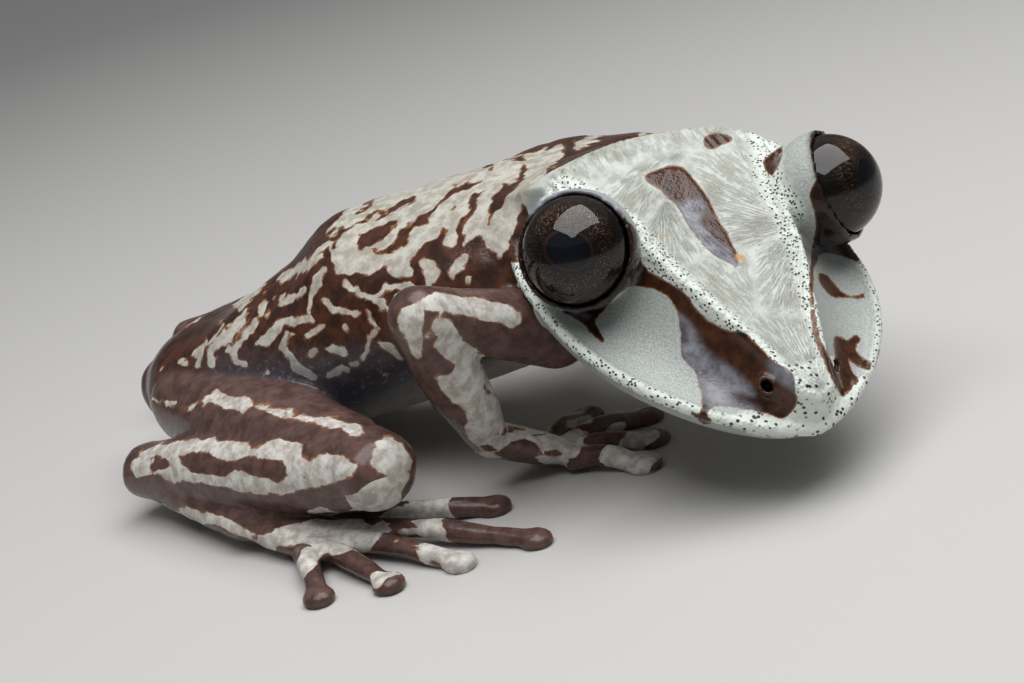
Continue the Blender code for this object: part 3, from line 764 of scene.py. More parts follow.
head_tree = surface_tree([head_form])
flesh_tree = surface_tree([trunk_form] + limbs)
trunk_tree = surface_tree([head_form, trunk_form, neck_form])
limb_tree = surface_tree(limbs)
skin = joined("skin", [head_form, trunk_form, neck_form] + limbs)
fuse = skin.modifiers.new("fuse", "REMESH")
fuse.mode = "VOXEL"
fuse.voxel_size = VOXEL
evaluated(skin)
group_of(skin, "soft", softening(places_of(skin.data)))
soften = skin.modifiers.new("soften", "SMOOTH")
soften.factor = SMOOTHING_FACTOR
soften.iterations = BODY_SMOOTHING
soften.vertex_group = "soft"
polish = skin.modifiers.new("polish", "SMOOTH")
polish.factor = SMOOTHING_FACTOR
polish.iterations = HEAD_SMOOTHING
evaluated(skin)

# Fine relief grows in the skin itself: a bead of granules along each crest, radial folds across the rear rim
# of the casque, a rounded dome of granules at the snout, and soft wrinkles where the body bends.
FAR = 9.0
TINY = 1e-9
NOISE_SHIFT = Vector((7.3, 3.1, 5.7))
CREST_STEPS = 48
RIM_STEPS = 12
CREST_GRAINS = ((-4.0, 1.0, 6.0, 12.0), (1.5, 1.35, 1.0, 0.65))
CREST_GRAINS_FROM_X = (-7.5, -4.0)
CORNER_GRAINS = 1.6
CORNER_GRAINS_TO_X = (-5.5, -3.0)
LIP_GRAINS = 0.8
SNOUT_GRAINS_FROM_X = (12.2, 13.6)
SNOUT_FROM_Z = (-8.5, -6.5)
LESSER_GRAINS = 0.8
CREST_BEAD = (0.26, 0.5)
CREST_BEAD_FROM_X = (-4.5, -2.0)
RIM_FOLDS = (0.13, 1.6, 0.62)
RIM_BENDS = ((0.5, 0.7, 1),)
RIM_FRINGE = (0.16, 0.5, 2.4)
GRANULES = (0.07, 3.2)
SNOUT_DOME = ((14.2, 0.0, -4.0), 2.6, 0.22)
BODY_FOLDS = ((0.16, 0.28, 3), (0.06, 0.8, 4))
UNDERSIDE = (0.3, 0.5)
LIMB_BLEND = (-0.2, 0.2)
BOX_GAP = (0.01, 0.01, 0.0)


def from_stretch(points, start, end):
    """How far each point lies from a straight stretch, and how far along it is the place nearest to it."""
    way = end - start
    share = np.clip((points - start) @ way / max(way @ way, TINY), 0, 1)
    return np.linalg.norm(points - start - share[:, None] * way, axis=1), share


def from_line(local, point_at, steps):
    """How far each place of the head lies from a line of its left half or the same line on its right."""
    line = np.array([tuple(point_at(step / steps)) for step in range(steps + 1)])
    left = on_left(local)
    nearest = np.full(len(local), FAR)
    for start, end in zip(line, line[1:]):
        nearest = np.minimum(nearest, from_stretch(left, start, end)[0])
    return nearest


def from_crests(local):
    """How far each place of the head lies from the nearer crest."""
    return from_line(local, crest_point, CREST_STEPS)


def from_rim(local):
    """How far each place of the head lies from the rear rim of the casque."""
    return from_line(local, lambda share: casque_point(0.0, share), RIM_STEPS)


def from_lip(local):
    """How far each place of the head lies from the rim of the upper lip."""
    return from_line(local, lip_point, CREST_STEPS)


def noise_at(points, scale, seed):
    """Smooth noise about 0 at each place, with its features 1 / scale apart."""
    return np.array([noise.noise(Vector(point) * scale + NOISE_SHIFT * seed) for point in points])


def layered(points, layers):
    """A sum of noises, each with its height, scale and seed."""
    return sum(height * noise_at(points, scale, seed) for height, scale, seed in layers)


def fading(away, width):
    """Falls softly from 1 on a line to almost nothing two widths from it."""
    return np.exp(-(away / width) ** 2)


def granular(local):
    """Where the skin of the head is set with granules, 0 to 1."""
    x = local[:, 0]
    away = from_crests(local)
    crest = fading(away, np.interp(x, *CREST_GRAINS)) * ramp(x, *CREST_GRAINS_FROM_X)
    lip = fading(from_lip(local), LIP_GRAINS)
    corner = fading(away, CORNER_GRAINS) * (1 - ramp(x, *CORNER_GRAINS_TO_X))
    snout = ramp(x, *SNOUT_GRAINS_FROM_X) * ramp(local[:, 2], *SNOUT_FROM_Z)
    return np.maximum.reduce((crest, lip * LESSER_GRAINS, corner * LESSER_GRAINS, snout))


def head_relief(points):
    """How far the skin of the head rises above its plain form."""
    local = in_head(points)
    height, width = CREST_BEAD
    bead = height * fading(from_crests(local), width) * ramp(local[:, 0], *CREST_BEAD_FROM_X)
    height, width, spacing = RIM_FOLDS
    bends = local[:, 1] / spacing + layered(local, RIM_BENDS)
    folds = height * np.cos(2 * pi * bends) * fading(from_rim(local), width)
    height, width, scale = RIM_FRINGE
    fringe = height * noise_at(local, scale, 6) * fading(from_rim(local), width)
    height, scale = GRANULES
    grains = height * noise_at(local, scale, 2) * granular(local)
    centre, radius, height = SNOUT_DOME
    dome = height * (1 - ramp(np.linalg.norm(local - np.array(centre), axis=1), 0.0, radius))
    return bead + folds + fringe + grains + dome


places = places_of(skin.data)
shares = head_share(places)
rises = np.zeros(len(places))
bony = np.nonzero(shares > 0)[0]
fleshy = np.nonzero(shares < 1)[0]
rises[bony] += head_relief(places[bony]) * shares[bony]
rises[fleshy] += layered(places[fleshy], BODY_FOLDS) * (1 - shares[fleshy])
places += normals_of(skin.data) * rises[:, None]
places[:, 2] = np.maximum(places[:, 2], 0.0)
place_vertices(skin.data, places)
under = ramp(-normals_of(skin.data)[:, 2], *UNDERSIDE)
limbs_only = ramp(distance_to(trunk_tree, places) - distance_to(limb_tree, places), *LIMB_BLEND)
group_of(skin, "plain", np.maximum(under, limbs_only))
thin = skin.modifiers.new("thin", "DECIMATE")
thin.ratio = SKIN_TRIANGLES / (2 * len(skin.data.polygons))
thin.vertex_group = "plain"
evaluated(skin)
low, high = (np.array(corner) / MM + FOOTPRINT_MIDDLE for corner in cad_box)
places = np.clip(places_of(skin.data), low + BOX_GAP, high - BOX_GAP)
place_vertices(skin.data, places)
skin.data.shade_smooth()

# The markings were traced on the photo, as outlines and strokes in its own pixels, and are laid on the
# skin that the photo's camera sees. The trunk's other side repeats its near side, a little warped, and
# what neither shows is painted as the species is: pale below and blotched above.
CAMERA_TURN = 27.33
CAMERA_LIFT = 18.18
CAMERA_ROLL = -14.32
CAMERA_SHIFT = (-7.9071, -7.8347)
CAMERA_DISTANCE = 148.6326
PHOTO_SIZE = (1024, 683)
FOCAL_PIXELS = 1886.1
HIDDEN_BY = 0.3
SHOWN_SPREAD = 14
SHOWN_WITHIN = (1.0, 2.0)
MARK_REACH = 112.5
BEYOND = 1e9
LIMB_MARKS_BLEND = (-0.4, 0.4)

# What blurs or replaces the traced marks: the noises, each with its height, scale and seed, that make their
# edges uneven, bend the far side of the trunk, and make the marks of the skin that the photo doesn't show.
TREMBLE = (((5.0, 0.7, 51), (3.0, 1.9, 53)), ((5.0, 0.7, 52), (3.0, 1.9, 54)))
TRUNK_MIDDLE_Y = 0.9
TRUNK_BEND = ((1.5, 0.2, 21), (1.5, 0.2, 22))
TRUNK_BEND_FROM_Y = (0.5, 4.0)
HIDDEN_CHIN = (0.5, ((2.4, 0.32, 11), (0.8, 0.9, 12)))
HIDDEN_TRUNK = (0.0, ((4.0, 0.3, 23), (1.5, 0.7, 24)))
HIDDEN_LIMBS = (-0.15, ((4.4, 0.24, 31), (1.6, 0.7, 32)))
LIMBS_SHOWN_ABOVE = ((130, 225, 290, 370, 460, 540, 600, 700), (640, 560, 520, 488, 462, 440, 427, 405))
LIMBS_SHOWN_BLEND = (-4.0, 8.0)

# The fine lines of the casque. A fan has its middle, the hub that its lines run out from, and their number.
FANS = (
    ((672, 232), (662, 203), 28.0),
    ((722, 292), (822, 378), 44.0),
    ((790, 285), (803, 224), 34.0),
    ((745, 200), (803, 224), 34.0),
    ((785, 342), (822, 388), 34.0),
    ((630, 200), (705, 120), 34.0),
)
FANS_APART = 50.0
FAN_SEAM = (0.0, 0.9)
RIM_REACH = 2.2
RIM_WAVE = ((0.4, 1.2, 41),)
RIM_LINES = 2.6
RIM_APART = 80.0
RIM_SEAM = (0.1, 0.9)
STRIP_AXIS = (0.73, 0.68)
STRIP_TURN = 218.5
STRIP_RIDGES_ABOVE = (2.4, 0.7)
STRIP_RIDGES_BELOW = (0.5, 2.6)
STRIP_APART = 120.0
STRIP_SEAM = (0.0, 0.3)
STRIP_TURN_SEAM = (0.0, 8.0)
LINES_FROM_CREST = (-0.3, 0.5)
LINES_FROM_Z = (-4.5, -3.5)

# Where the painted parts of the skin begin and end.
BELLY_DOWN = (0.6, 0.95)
COOL_BELOW_Z = (13.0, 8.5)
COOL_FROM_X = (-15.0, -8.0)
MARGIN_FROM = (-0.5, 0.1)
MARGIN_TO = (1.4, 1.8)
MARGIN_EDGE = 0.1
MARGIN_REFLECTION_RISE = (1.9, 2.8)
SHEEN_EDGE = (-0.35, 0.35)
WET_EDGE = (0.3, -0.3)
ORANGE_EDGE = (-0.12, 0.12)
HOLLOW_SHADE_EDGE = (-0.15, 0.15)
NOSTRIL_EDGE = (0.75, 1.0)
CHEEK_FROM_CREST = (0.2, 0.9)
SNOUT_FROM_X = (12.0, 13.4)

# Brown on the pale head.
CASQUE_STRIP = ((643, 178), (649, 172), (658, 170), (664, 166), (673, 165), (684, 167), (691, 175),
                (698, 184), (706, 194), (713, 206), (719, 221), (727, 231), (734, 247), (738, 254),
                (739, 270), (732, 264), (719, 259), (703, 246), (695, 234), (687, 225), (680, 210),
                (675, 204), (667, 198), (661, 190), (654, 187))
RIM_PATCH = ((703, 140), (706, 135), (717, 133), (726, 134), (733, 137), (731, 143), (722, 144), (717, 148),
             (710, 150), (704, 147))
LID_ROOT_PATCH = ((762, 161), (770, 154), (783, 144), (783, 154), (779, 165), (775, 171), (773, 177),
                  (766, 173))
FACE_BAND = ((640, 268), (652, 273), (672, 284), (688, 295), (696, 309), (707, 320), (723, 329), (738, 332),
             (747, 333), (756, 343), (766, 354), (775, 363), (789, 369), (796, 377), (794, 390), (799, 399),
             (794, 409), (787, 418), (777, 419), (770, 414), (752, 411), (738, 408), (727, 406), (716, 406),
             (708, 410), (708, 417), (712, 420), (710, 426), (699, 424), (696, 415), (702, 410), (702, 395),
             (697, 379), (693, 369), (682, 360), (680, 350), (681, 337), (679, 323), (677, 311), (669, 298),
             (657, 290), (640, 287), (631, 284), (634, 272))
RIGHT_EYE_SKIN = ((620, 221), (629, 222), (636, 230), (640, 236), (640, 252), (641, 263), (650, 272),
                  (640, 287), (632, 284), (622, 291), (612, 301), (602, 312), (594, 321), (600, 331),
                  (603, 338), (596, 340), (590, 327), (570, 316), (559, 310), (566, 303), (590, 306),
                  (612, 290), (624, 268), (627, 240))
EAR_PATCH = ((506, 258), (510, 246), (518, 228), (524, 210), (527, 214), (524, 228), (521, 242), (523, 262),
             (512, 264))
LEFT_EYE_SKIN = ((826, 130), (834, 133), (826, 150), (823, 183), (838, 198), (846, 224), (852, 232),
                 (862, 240), (860, 264), (848, 258), (827, 252), (815, 257), (810, 262), (814, 236),
                 (817, 220), (809, 196), (810, 190), (818, 178), (817, 160))
LEFT_BAR = ((817, 273), (824, 273), (830, 277), (834, 284), (845, 295), (859, 296), (863, 292), (866, 299),
            (858, 299), (845, 298), (832, 298), (827, 293), (820, 284))
LEFT_PATCH = ((833, 334), (844, 338), (848, 341), (855, 334), (861, 337), (861, 341), (855, 347),
              (858, 354), (866, 360), (873, 362), (870, 371), (863, 369), (854, 365), (847, 357),
              (852, 371), (857, 376), (861, 383), (854, 384), (850, 392), (845, 396), (839, 379),
              (834, 356))
# The stroke down the groove beside the left crest: partly the skin's brown, partly painted shade in the
# groove.
LEFT_GROOVE_BROWN_AND_SHADE = ((816, 256, 3), (812, 268, 2), (811, 290, 2), (813, 315, 2.5), (817, 338, 3), (825, 356, 3.5),
               (834, 375, 4), (843, 394, 3))

# Small brown spots on the lip, painted shade in a hollow of the brown band, and two orange bumps on the
# casque.
LIP_SPOTS = (
    ((586, 322, 2.5), (592, 331, 3.0)),
    ((597, 334, 2), (602, 340, 2.5)),
    ((694, 414, 2), (699, 418, 2)),
)
HOLLOW_SHADE_SPOTS = (
    ((739, 333, 3.0), (743, 335, 3.0)),
)
ORANGE_SPOTS = (
    ((738, 257, 3.2), (742, 258, 3.4)),
    ((661, 237, 1.3), (662, 239, 1.3)),
)

# Painted reflections: the milky wet sheen of the soft light on the brown of the head, painted into its colour
# as lavender grey. The two small patches by the right eye are painted wet highlights.
STRIP_SHEEN = ((676, 205), (687, 200), (700, 199), (704, 206), (701, 215), (699, 223), (707, 229),
               (713, 238), (720, 246), (733, 251), (730, 258), (739, 262), (739, 270), (732, 264),
               (719, 259), (703, 246), (695, 234), (687, 225), (680, 210))
CHEEK_SHEEN = ((677, 311), (689, 323), (697, 334), (703, 348), (714, 357), (730, 368), (744, 379),
               (752, 389), (755, 396), (746, 394), (731, 393), (740, 399), (750, 405), (762, 410),
               (752, 411), (738, 408), (727, 406), (716, 406), (708, 410), (702, 395), (697, 379),
               (693, 369), (682, 360), (680, 350), (681, 337), (679, 323))
NOSTRIL_SHEEN = ((768, 357), (775, 364), (789, 370), (796, 377), (794, 391), (785, 386), (777, 379),
                 (769, 373))
RIM_SHEEN = ((567, 149), (576, 150), (572, 157), (566, 160))
EYE_SHEENS = (
    ((568, 309), (577, 310), (587, 313), (592, 317), (586, 320), (580, 316), (573, 316)),
    ((633, 266), (638, 270), (640, 277), (634, 285), (629, 287), (633, 277)),
)
PAINTED_FACE_SHEENS = (STRIP_SHEEN, CHEEK_SHEEN, NOSTRIL_SHEEN, RIM_SHEEN) + EYE_SHEENS
FACE_PATCHES = (CASQUE_STRIP, RIM_PATCH, LID_ROOT_PATCH, FACE_BAND, RIGHT_EYE_SKIN, EAR_PATCH, LEFT_EYE_SKIN,
                LEFT_BAR, LEFT_PATCH)

# Pale on the brown trunk, from the neck back to the vent. The saddle is one pale field with brown in it.
SADDLE = ((566, 143), (555, 146), (520, 155), (480, 163), (440, 172), (410, 180), (385, 190), (360, 200),
          (345, 212), (336, 222), (326, 232), (331, 250), (338, 266), (340, 274), (346, 277), (355, 272),
          (361, 273), (369, 277), (377, 276), (381, 271), (381, 262), (388, 270), (395, 276), (404, 280),
          (411, 277), (411, 271), (407, 260), (411, 257), (416, 253), (418, 246), (426, 241), (434, 235),
          (441, 228), (446, 227), (444, 237), (444, 246), (447, 249), (452, 246), (457, 237), (459, 227),
          (461, 223), (463, 232), (464, 242), (467, 244), (471, 240), (474, 233), (479, 235), (482, 240),
          (484, 238), (486, 246), (497, 249), (500, 260), (506, 250), (511, 232), (522, 210), (530, 196),
          (548, 170), (558, 165), (562, 155))
SADDLE_BROWN = (
    ((530, 163), (523, 165), (518, 175), (511, 183), (506, 185), (503, 179), (501, 185), (497, 192),
     (492, 200), (487, 217), (485, 229), (490, 219), (494, 212), (500, 213), (504, 211), (507, 205),
     (510, 196), (516, 187), (522, 178), (527, 169)),
    ((397, 218), (389, 221), (383, 224), (373, 226), (362, 231), (361, 237), (359, 242), (356, 250),
     (366, 250), (370, 247), (378, 240), (387, 233), (394, 226)),
)
SADDLE_STROKES = (
    ((481, 181, 1), (470, 186, 4), (455, 190, 5.5), (444, 198, 3.5), (436, 208, 2), (426, 217, 4.2),
     (418, 222, 3), (411, 227, 1.8), (405, 236, 5.5), (397, 245, 4.5), (388, 250, 2.5), (372, 251, 1.5)),
    ((485, 190, 1), (477, 197, 4.5), (473, 206, 3), (468, 214, 2), (462, 222, 2.5), (457, 232, 3)),
    ((415, 197, 2.5), (404, 203, 4.5), (393, 208, 3), (379, 213, 2), (366, 220, 2), (352, 228, 2.2),
     (340, 233, 4), (331, 240, 5.5), (337, 247, 3)),
    ((371, 199, 3), (367, 207, 2.5), (358, 213, 2)),
    ((522, 158, 2), (514, 160, 2.5)),
    ((491, 168, 2.5), (485, 167, 3)),
    ((455, 205, 1.2), (451, 208, 1.2)),
)
NECK_BROWN = ((566, 144), (574, 145), (584, 151), (578, 156), (569, 160), (564, 164), (556, 168),
              (560, 157))
FLANK_PALE = (
    ((421, 261), (427, 257), (435, 260), (436, 266), (441, 276), (438, 281), (433, 283), (429, 289),
     (426, 288), (423, 271)),
    ((469, 253), (471, 258), (466, 265), (457, 271), (453, 279), (448, 276), (448, 271), (453, 265),
     (459, 258)),
)
FLANK_STROKES = (
    ((599, 134, 2.5), (588, 140, 3), (577, 147, 3)),
    ((652, 131, 2), (640, 136, 3)),
    ((467, 281, 3.4), (467, 282, 3.4)),
    ((329, 243, 4), (318, 252, 5), (309, 262, 4.5), (301, 269, 4), (291, 275, 4), (281, 280, 3)),
    ((322, 271, 3.5), (316, 277, 3.5), (318, 283, 4), (314, 290, 3), (310, 300, 3), (309, 312, 3)),
    ((303, 288, 2.5), (297, 295, 3), (291, 299, 3.5), (283, 302, 4), (280, 297, 3)),
    ((266, 303, 4), (264, 314, 5)),
    ((262, 288, 3), (250, 297, 3.5), (238, 307, 3)),
    ((246, 312, 3), (236, 326, 5), (226, 338, 6), (214, 345, 4)),
    ((254, 320, 3), (246, 332, 5), (238, 345, 4), (228, 352, 3)),
    ((312, 318, 3), (298, 321, 3.5), (285, 321, 4), (272, 333, 5), (262, 345, 4)),
    ((325, 302, 3), (338, 310, 3.5), (355, 313, 4)),
    ((345, 285, 3), (358, 292, 3), (372, 300, 3), (381, 308, 3)),
    ((378, 300, 3.5), (383, 306, 4)),
    ((380, 296, 2), (386, 288, 3), (400, 286, 3), (414, 291, 3)),
    ((398, 298, 4), (399, 300, 4)),
    ((368, 315, 2), (378, 328, 2.5)),
    ((322, 325, 2.5), (308, 338, 3)),
    ((290, 335, 3), (283, 348, 3.5), (292, 360, 3), (300, 372, 4), (315, 378, 4)),
    ((348, 329, 3), (349, 330, 3)),
    ((331, 348, 4), (343, 352, 4)),
    ((313, 355, 3.5), (314, 357, 3)),
    ((375, 333, 2.5), (368, 345, 2.5), (362, 358, 2.5)),
    ((380, 346, 2.5), (392, 350, 3), (400, 358, 2.5)),
    ((266, 371, 3), (256, 386, 5)),
    ((232, 355, 3), (243, 366, 3)),
    ((386, 375, 2.5), (387, 376, 2)),
    ((406, 379, 3), (400, 383, 3)),
    ((357, 360, 2.5), (350, 366, 2)),
    ((281, 393, 3), (290, 396, 3)),
    ((330, 375, 3), (345, 370, 3)),
    ((164, 371, 4), (168, 376, 4)),
    ((177, 382, 4.5), (180, 380, 4)),
    ((184, 364, 4), (180, 362, 3)),
    ((212, 350, 4), (213, 366, 3.5)),
    ((205, 340, 2), (197, 368, 2.5), (192, 380, 2)),
    ((224, 325, 2), (208, 340, 2), (195, 355, 2)),
    ((155, 330, 3), (175, 325, 4), (198, 318, 3)),
)

# Pale on the brown limbs of the near side, and brown within it.
LIMB_PALE = (
    ((374, 441), (389, 434), (401, 441), (412, 455), (414, 468), (389, 474), (370, 470), (372, 455)),
    ((140, 450), (187, 439), (252, 441), (255, 453), (260, 447), (277, 438), (300, 444), (330, 453),
     (356, 458), (357, 478), (316, 489), (274, 495), (241, 492), (204, 484), (170, 481), (160, 474),
     (148, 470), (138, 480), (131, 475), (133, 458)),
    ((396, 312), (415, 303), (426, 315), (424, 340), (421, 363), (409, 346), (396, 326)),
    ((432, 314), (446, 318), (458, 330), (463, 342), (480, 352), (486, 360), (478, 364), (494, 374),
     (500, 392), (512, 410), (508, 424), (498, 436), (484, 446), (470, 444), (462, 430), (466, 418),
     (452, 402), (440, 386), (427, 371), (454, 374), (457, 366), (437, 352), (433, 330)),
)
LIMB_STROKES = (
    ((146, 396, 1.5), (160, 399, 2.5), (176, 406, 3), (190, 409, 2), (203, 400, 5), (214, 398, 5),
     (228, 404, 6), (240, 405, 7), (248, 400, 4)),
    ((258, 405, 4), (277, 411, 4), (300, 417, 3), (320, 421, 3.5), (340, 424, 4), (354, 428, 5),
     (359, 435, 4)),
    ((155, 508, 3), (175, 513, 5), (200, 516, 6), (218, 520, 6), (235, 530, 5), (262, 540, 4)),
    ((424, 303, 7), (440, 303, 8), (460, 305, 9), (480, 309, 10), (500, 314, 10), (516, 320, 7)),
    ((498, 446, 6), (512, 437, 7), (530, 430, 6), (545, 424, 5)),
    ((560, 427, 5), (576, 424, 5), (590, 420, 4)),
)
LIMB_BROWN = (
    ((150, 464, 6), (162, 462, 7)),
    ((185, 460, 8), (200, 464, 11), (222, 467, 9)),
    ((240, 464, 7), (258, 466, 11), (276, 470, 11)),
    ((308, 455, 7), (322, 452, 6)),
    ((338, 449, 6), (346, 450, 5)),
    ((450, 404, 4), (458, 412, 6), (464, 418, 5)),
    ((486, 394, 3), (498, 395, 4)),
    ((477, 380, 2.5), (479, 381, 2)),
    ((300, 472, 2.5), (304, 478, 2.5)),
    ((398, 452, 2.5), (405, 448, 1.5)),
    ((474, 352, 1.5), (476, 356, 1.5)),
    ((538, 438, 3), (548, 434, 3)),
)


def camera_axes():
    """The photo's view on the frog: right, up and back, and the place of the camera."""
    turn = radians(CAMERA_TURN)
    lift = radians(CAMERA_LIFT)
    roll = radians(CAMERA_ROLL)
    back = Vector((sin(turn) * cos(lift), -cos(turn) * cos(lift), sin(lift)))
    level = Vector((cos(turn), sin(turn), 0))
    rise = back.cross(level)
    right = level * cos(roll) + rise * sin(roll)
    up = rise * cos(roll) - level * sin(roll)
    place = back * CAMERA_DISTANCE - right * CAMERA_SHIFT[0] - up * CAMERA_SHIFT[1]
    return right, up, back, place


def in_photo(points):
    """Where places on the frog lie in the photo, in its pixels, and how many millimetres a pixel is there."""
    right, up, back, place = (np.array(axis) for axis in camera_axes())
    offset = points - place
    depth = -(offset @ back)
    across = PHOTO_SIZE[0] / 2 + FOCAL_PIXELS * (offset @ right) / depth
    down = PHOTO_SIZE[1] / 2 - FOCAL_PIXELS * (offset @ up) / depth
    return np.stack((across, down), axis=1), depth / FOCAL_PIXELS


def seen_from_camera(points, normals, tree):
    """Which places of the skin the photo's camera sees."""
    place = camera_axes()[3]
    seen = np.zeros(len(points), bool)
    facing = ((np.array(place) - points) * normals).sum(axis=1) > 0
    for index in np.nonzero(facing)[0]:
        way = Vector(points[index]) - place
        reach = way.length
        _, _, _, distance = tree.ray_cast(place, way / reach, reach)
        seen[index] = distance is None or distance > reach - HIDDEN_BY
    return seen


def rounded(outline):
    """The outline with its corners cut twice."""
    points = np.array(outline, float)
    for _ in range(2):
        after = np.roll(points, -1, axis=0)
        points = np.stack((points * 0.75 + after * 0.25, points * 0.25 + after * 0.75), axis=1).reshape(-1, 2)
    return points


def near_to(pixels, points, reach):
    """The numbers of the pixels that lie near an outline or a stroke."""
    low = points.min(axis=0) - reach
    high = points.max(axis=0) + reach
    return np.nonzero(((pixels > low) & (pixels < high)).all(axis=1))[0]


def outside_patch(pixels, outline):
    """How far each pixel lies outside an outline, negative inside it."""
    points = rounded(outline)
    picked = near_to(pixels, points, MARK_REACH)
    spots = pixels[picked]
    nearest = np.full(len(spots), BEYOND)
    inside = np.zeros(len(spots), bool)
    for start, end in zip(points, np.roll(points, -1, axis=0)):
        nearest = np.minimum(nearest, from_stretch(spots, start, end)[0])
        across, down = end - start
        crosses = (spots[:, 1] < start[1]) != (spots[:, 1] < end[1])
        inside ^= crosses & (spots[:, 0] < start[0] + (spots[:, 1] - start[1]) / (down or TINY) * across)
    result = np.full(len(pixels), BEYOND)
    result[picked] = np.where(inside, -nearest, nearest)
    return result


def outside_stroke(pixels, stroke):
    """How far each pixel lies outside a stroke of changing width, negative inside it."""
    points = np.array(stroke, float)
    picked = near_to(pixels, points[:, :2], MARK_REACH)
    nearest = np.full(len(picked), BEYOND)
    for start, end in zip(points, points[1:]):
        away, share = from_stretch(pixels[picked], start[:2], end[:2])
        nearest = np.minimum(nearest, away - mix(start[2], end[2], share))
    result = np.full(len(pixels), BEYOND)
    result[picked] = nearest
    return result


def outside_all(pixels, patches, strokes=()):
    """How far each pixel lies outside every one of the patches and strokes."""
    nearest = np.full(len(pixels), BEYOND)
    for outline in patches:
        nearest = np.minimum(nearest, outside_patch(pixels, outline))
    for stroke in strokes:
        nearest = np.minimum(nearest, outside_stroke(pixels, stroke))
    return nearest


def face_patches(points):
    """How far each place of the head lies outside the brown patches, negative inside, in millimetres."""
    pixels, scale = in_photo(points)
    strokes = (LEFT_GROOVE_BROWN_AND_SHADE,) + LIP_SPOTS
    return np.clip(outside_all(pixels, FACE_PATCHES, strokes) * scale, -FAR, FAR)


def trembled(points, pixels):
    """The pixels moved a little by noise, so that what is drawn there gets uneven edges."""
    return pixels + np.stack([layered(points, layers) for layers in TREMBLE], axis=1)


def trunk_pale(points):
    """How far inside the pale of the trunk each place lies, negative on the brown."""
    pixels, scale = in_photo(points)
    pixels = trembled(points, pixels)
    saddle = np.minimum(-outside_patch(pixels, SADDLE), outside_all(pixels, SADDLE_BROWN, SADDLE_STROKES))
    saddle = np.minimum(saddle, outside_patch(pixels, NECK_BROWN))
    flank = -outside_all(pixels, FLANK_PALE, FLANK_STROKES)
    return np.clip(np.maximum(saddle, flank) * scale, -FAR, FAR)


def limb_pale(points):
    """How far inside the pale of the limbs each place lies, negative on the brown."""
    pixels, scale = in_photo(points)
    pixels = trembled(points, pixels)
    pale = -outside_all(pixels, LIMB_PALE, LIMB_STROKES)
    return np.clip(np.minimum(pale, outside_all(pixels, (), LIMB_BROWN)) * scale, -FAR, FAR)


def spread(mesh, values, rounds):
    """Evens each value with its neighbours' over the skin, round after round."""
    ends = np.empty(len(mesh.edges) * 2, np.int32)
    mesh.edges.foreach_get("vertices", ends)
    first, second = ends.reshape(-1, 2).T
    count = np.bincount(ends, minlength=len(values))
    for _ in range(rounds):
        total = np.bincount(first, values[second], len(values))
        total += np.bincount(second, values[first], len(values))
        values = (values + total / count) / 2
    return values


def shown_at(points, lookup):
    """How well the photo shows the skin that is nearest to each place."""
    tree, shown = lookup
    found = [tree.find(Vector(point)) for point in points]
    near = np.array([shown[index] for _, index, _ in found])
    return near * (1 - ramp(np.array([distance for _, _, distance in found]), *SHOWN_WITHIN))


def blotches(points, hidden):
    """Irregular patches for skin that the photo doesn't show, positive where it is pale."""
    paleness, layers = hidden
    return paleness + layered(points, layers)


def mirrored_head(local):
    """The places across the head from others, in the frog's frame."""
    return moved_by(head_place(), local * (1, -1, 1))


def bony_marks(points, shown, lookup):
    """The brown and pale of the head. Its hidden side repeats the side that shows, and its chin is pale."""
    mirrored = mirrored_head(in_head(points))
    mirror_shown = shown_at(mirrored, lookup)
    other = mirror_shown * face_patches(mirrored) + (1 - mirror_shown) * blotches(points, HIDDEN_CHIN)
    return shown * face_patches(points) + (1 - shown) * other


def trunk_marks(points, shown, lookup):
    """The brown and pale of the trunk. Its far side repeats the near side, a little bent."""
    bend = ramp(np.abs(points[:, 1] - TRUNK_MIDDLE_Y), *TRUNK_BEND_FROM_Y)
    mirrored = points * (1, -1, 1) + (0, 2 * TRUNK_MIDDLE_Y, 0)
    for axis, layer in zip((0, 2), TRUNK_BEND):
        mirrored[:, axis] += bend * layered(points, (layer,))
    mirror_shown = shown_at(mirrored, lookup)
    other = mirror_shown * trunk_pale(mirrored) + (1 - mirror_shown) * blotches(points, HIDDEN_TRUNK)
    return shown * trunk_pale(points) + (1 - shown) * other


def limb_marks(points, shown):
    """The brown and pale of the limbs, with irregular patches where the photo doesn't show them."""
    pixels, _ = in_photo(points)
    above = np.interp(pixels[:, 0], *LIMBS_SHOWN_ABOVE) - pixels[:, 1]
    shown = shown * ramp(above, *LIMBS_SHOWN_BLEND)
    return shown * limb_pale(points) + (1 - shown) * blotches(points, HIDDEN_LIMBS)


def fan_lines(pixels, scale):
    """The space of the lines that fan out over the casque, and how strong they are: weak where fans meet."""
    space = np.zeros((len(pixels), 3))
    nearest = np.full(len(pixels), BEYOND)
    second = nearest
    for order, (middle, hub, lines) in enumerate(FANS):
        away = np.linalg.norm(pixels - middle, axis=1)
        picked = away < nearest
        second = np.where(picked, nearest, np.minimum(second, away))
        nearest = np.minimum(nearest, away)
        out = pixels - hub
        length = np.maximum(np.linalg.norm(out, axis=1), TINY)
        around = out / length[:, None] * lines
        fan = np.column_stack((around, length * scale + order * FANS_APART))
        space[picked] = fan[picked]
    return space, ramp((second - nearest) * scale, *FAN_SEAM)


def rim_folds(local):
    """The space of the folds across the casque's rear rim, and how far inside their belt each place lies."""
    inside = RIM_REACH + layered(local, RIM_WAVE) - from_rim(local)
    return np.column_stack((local[:, 1] * RIM_LINES, np.full(len(local), RIM_APART), local[:, 0])), inside


def strip_ridges(pixels, scale):
    """The space of the ridges of the casque's brown strip, and how far inside the strip each pixel lies."""
    along = pixels @ STRIP_AXIS * scale
    across = pixels @ (-STRIP_AXIS[1], STRIP_AXIS[0]) * scale
    rates = np.where(pixels[:, 1:] > STRIP_TURN, STRIP_RIDGES_BELOW, STRIP_RIDGES_ABOVE)
    space = np.column_stack((along * rates[:, 0], across * rates[:, 1], np.full(len(pixels), STRIP_APART)))
    return space, -outside_patch(pixels, CASQUE_STRIP) * scale


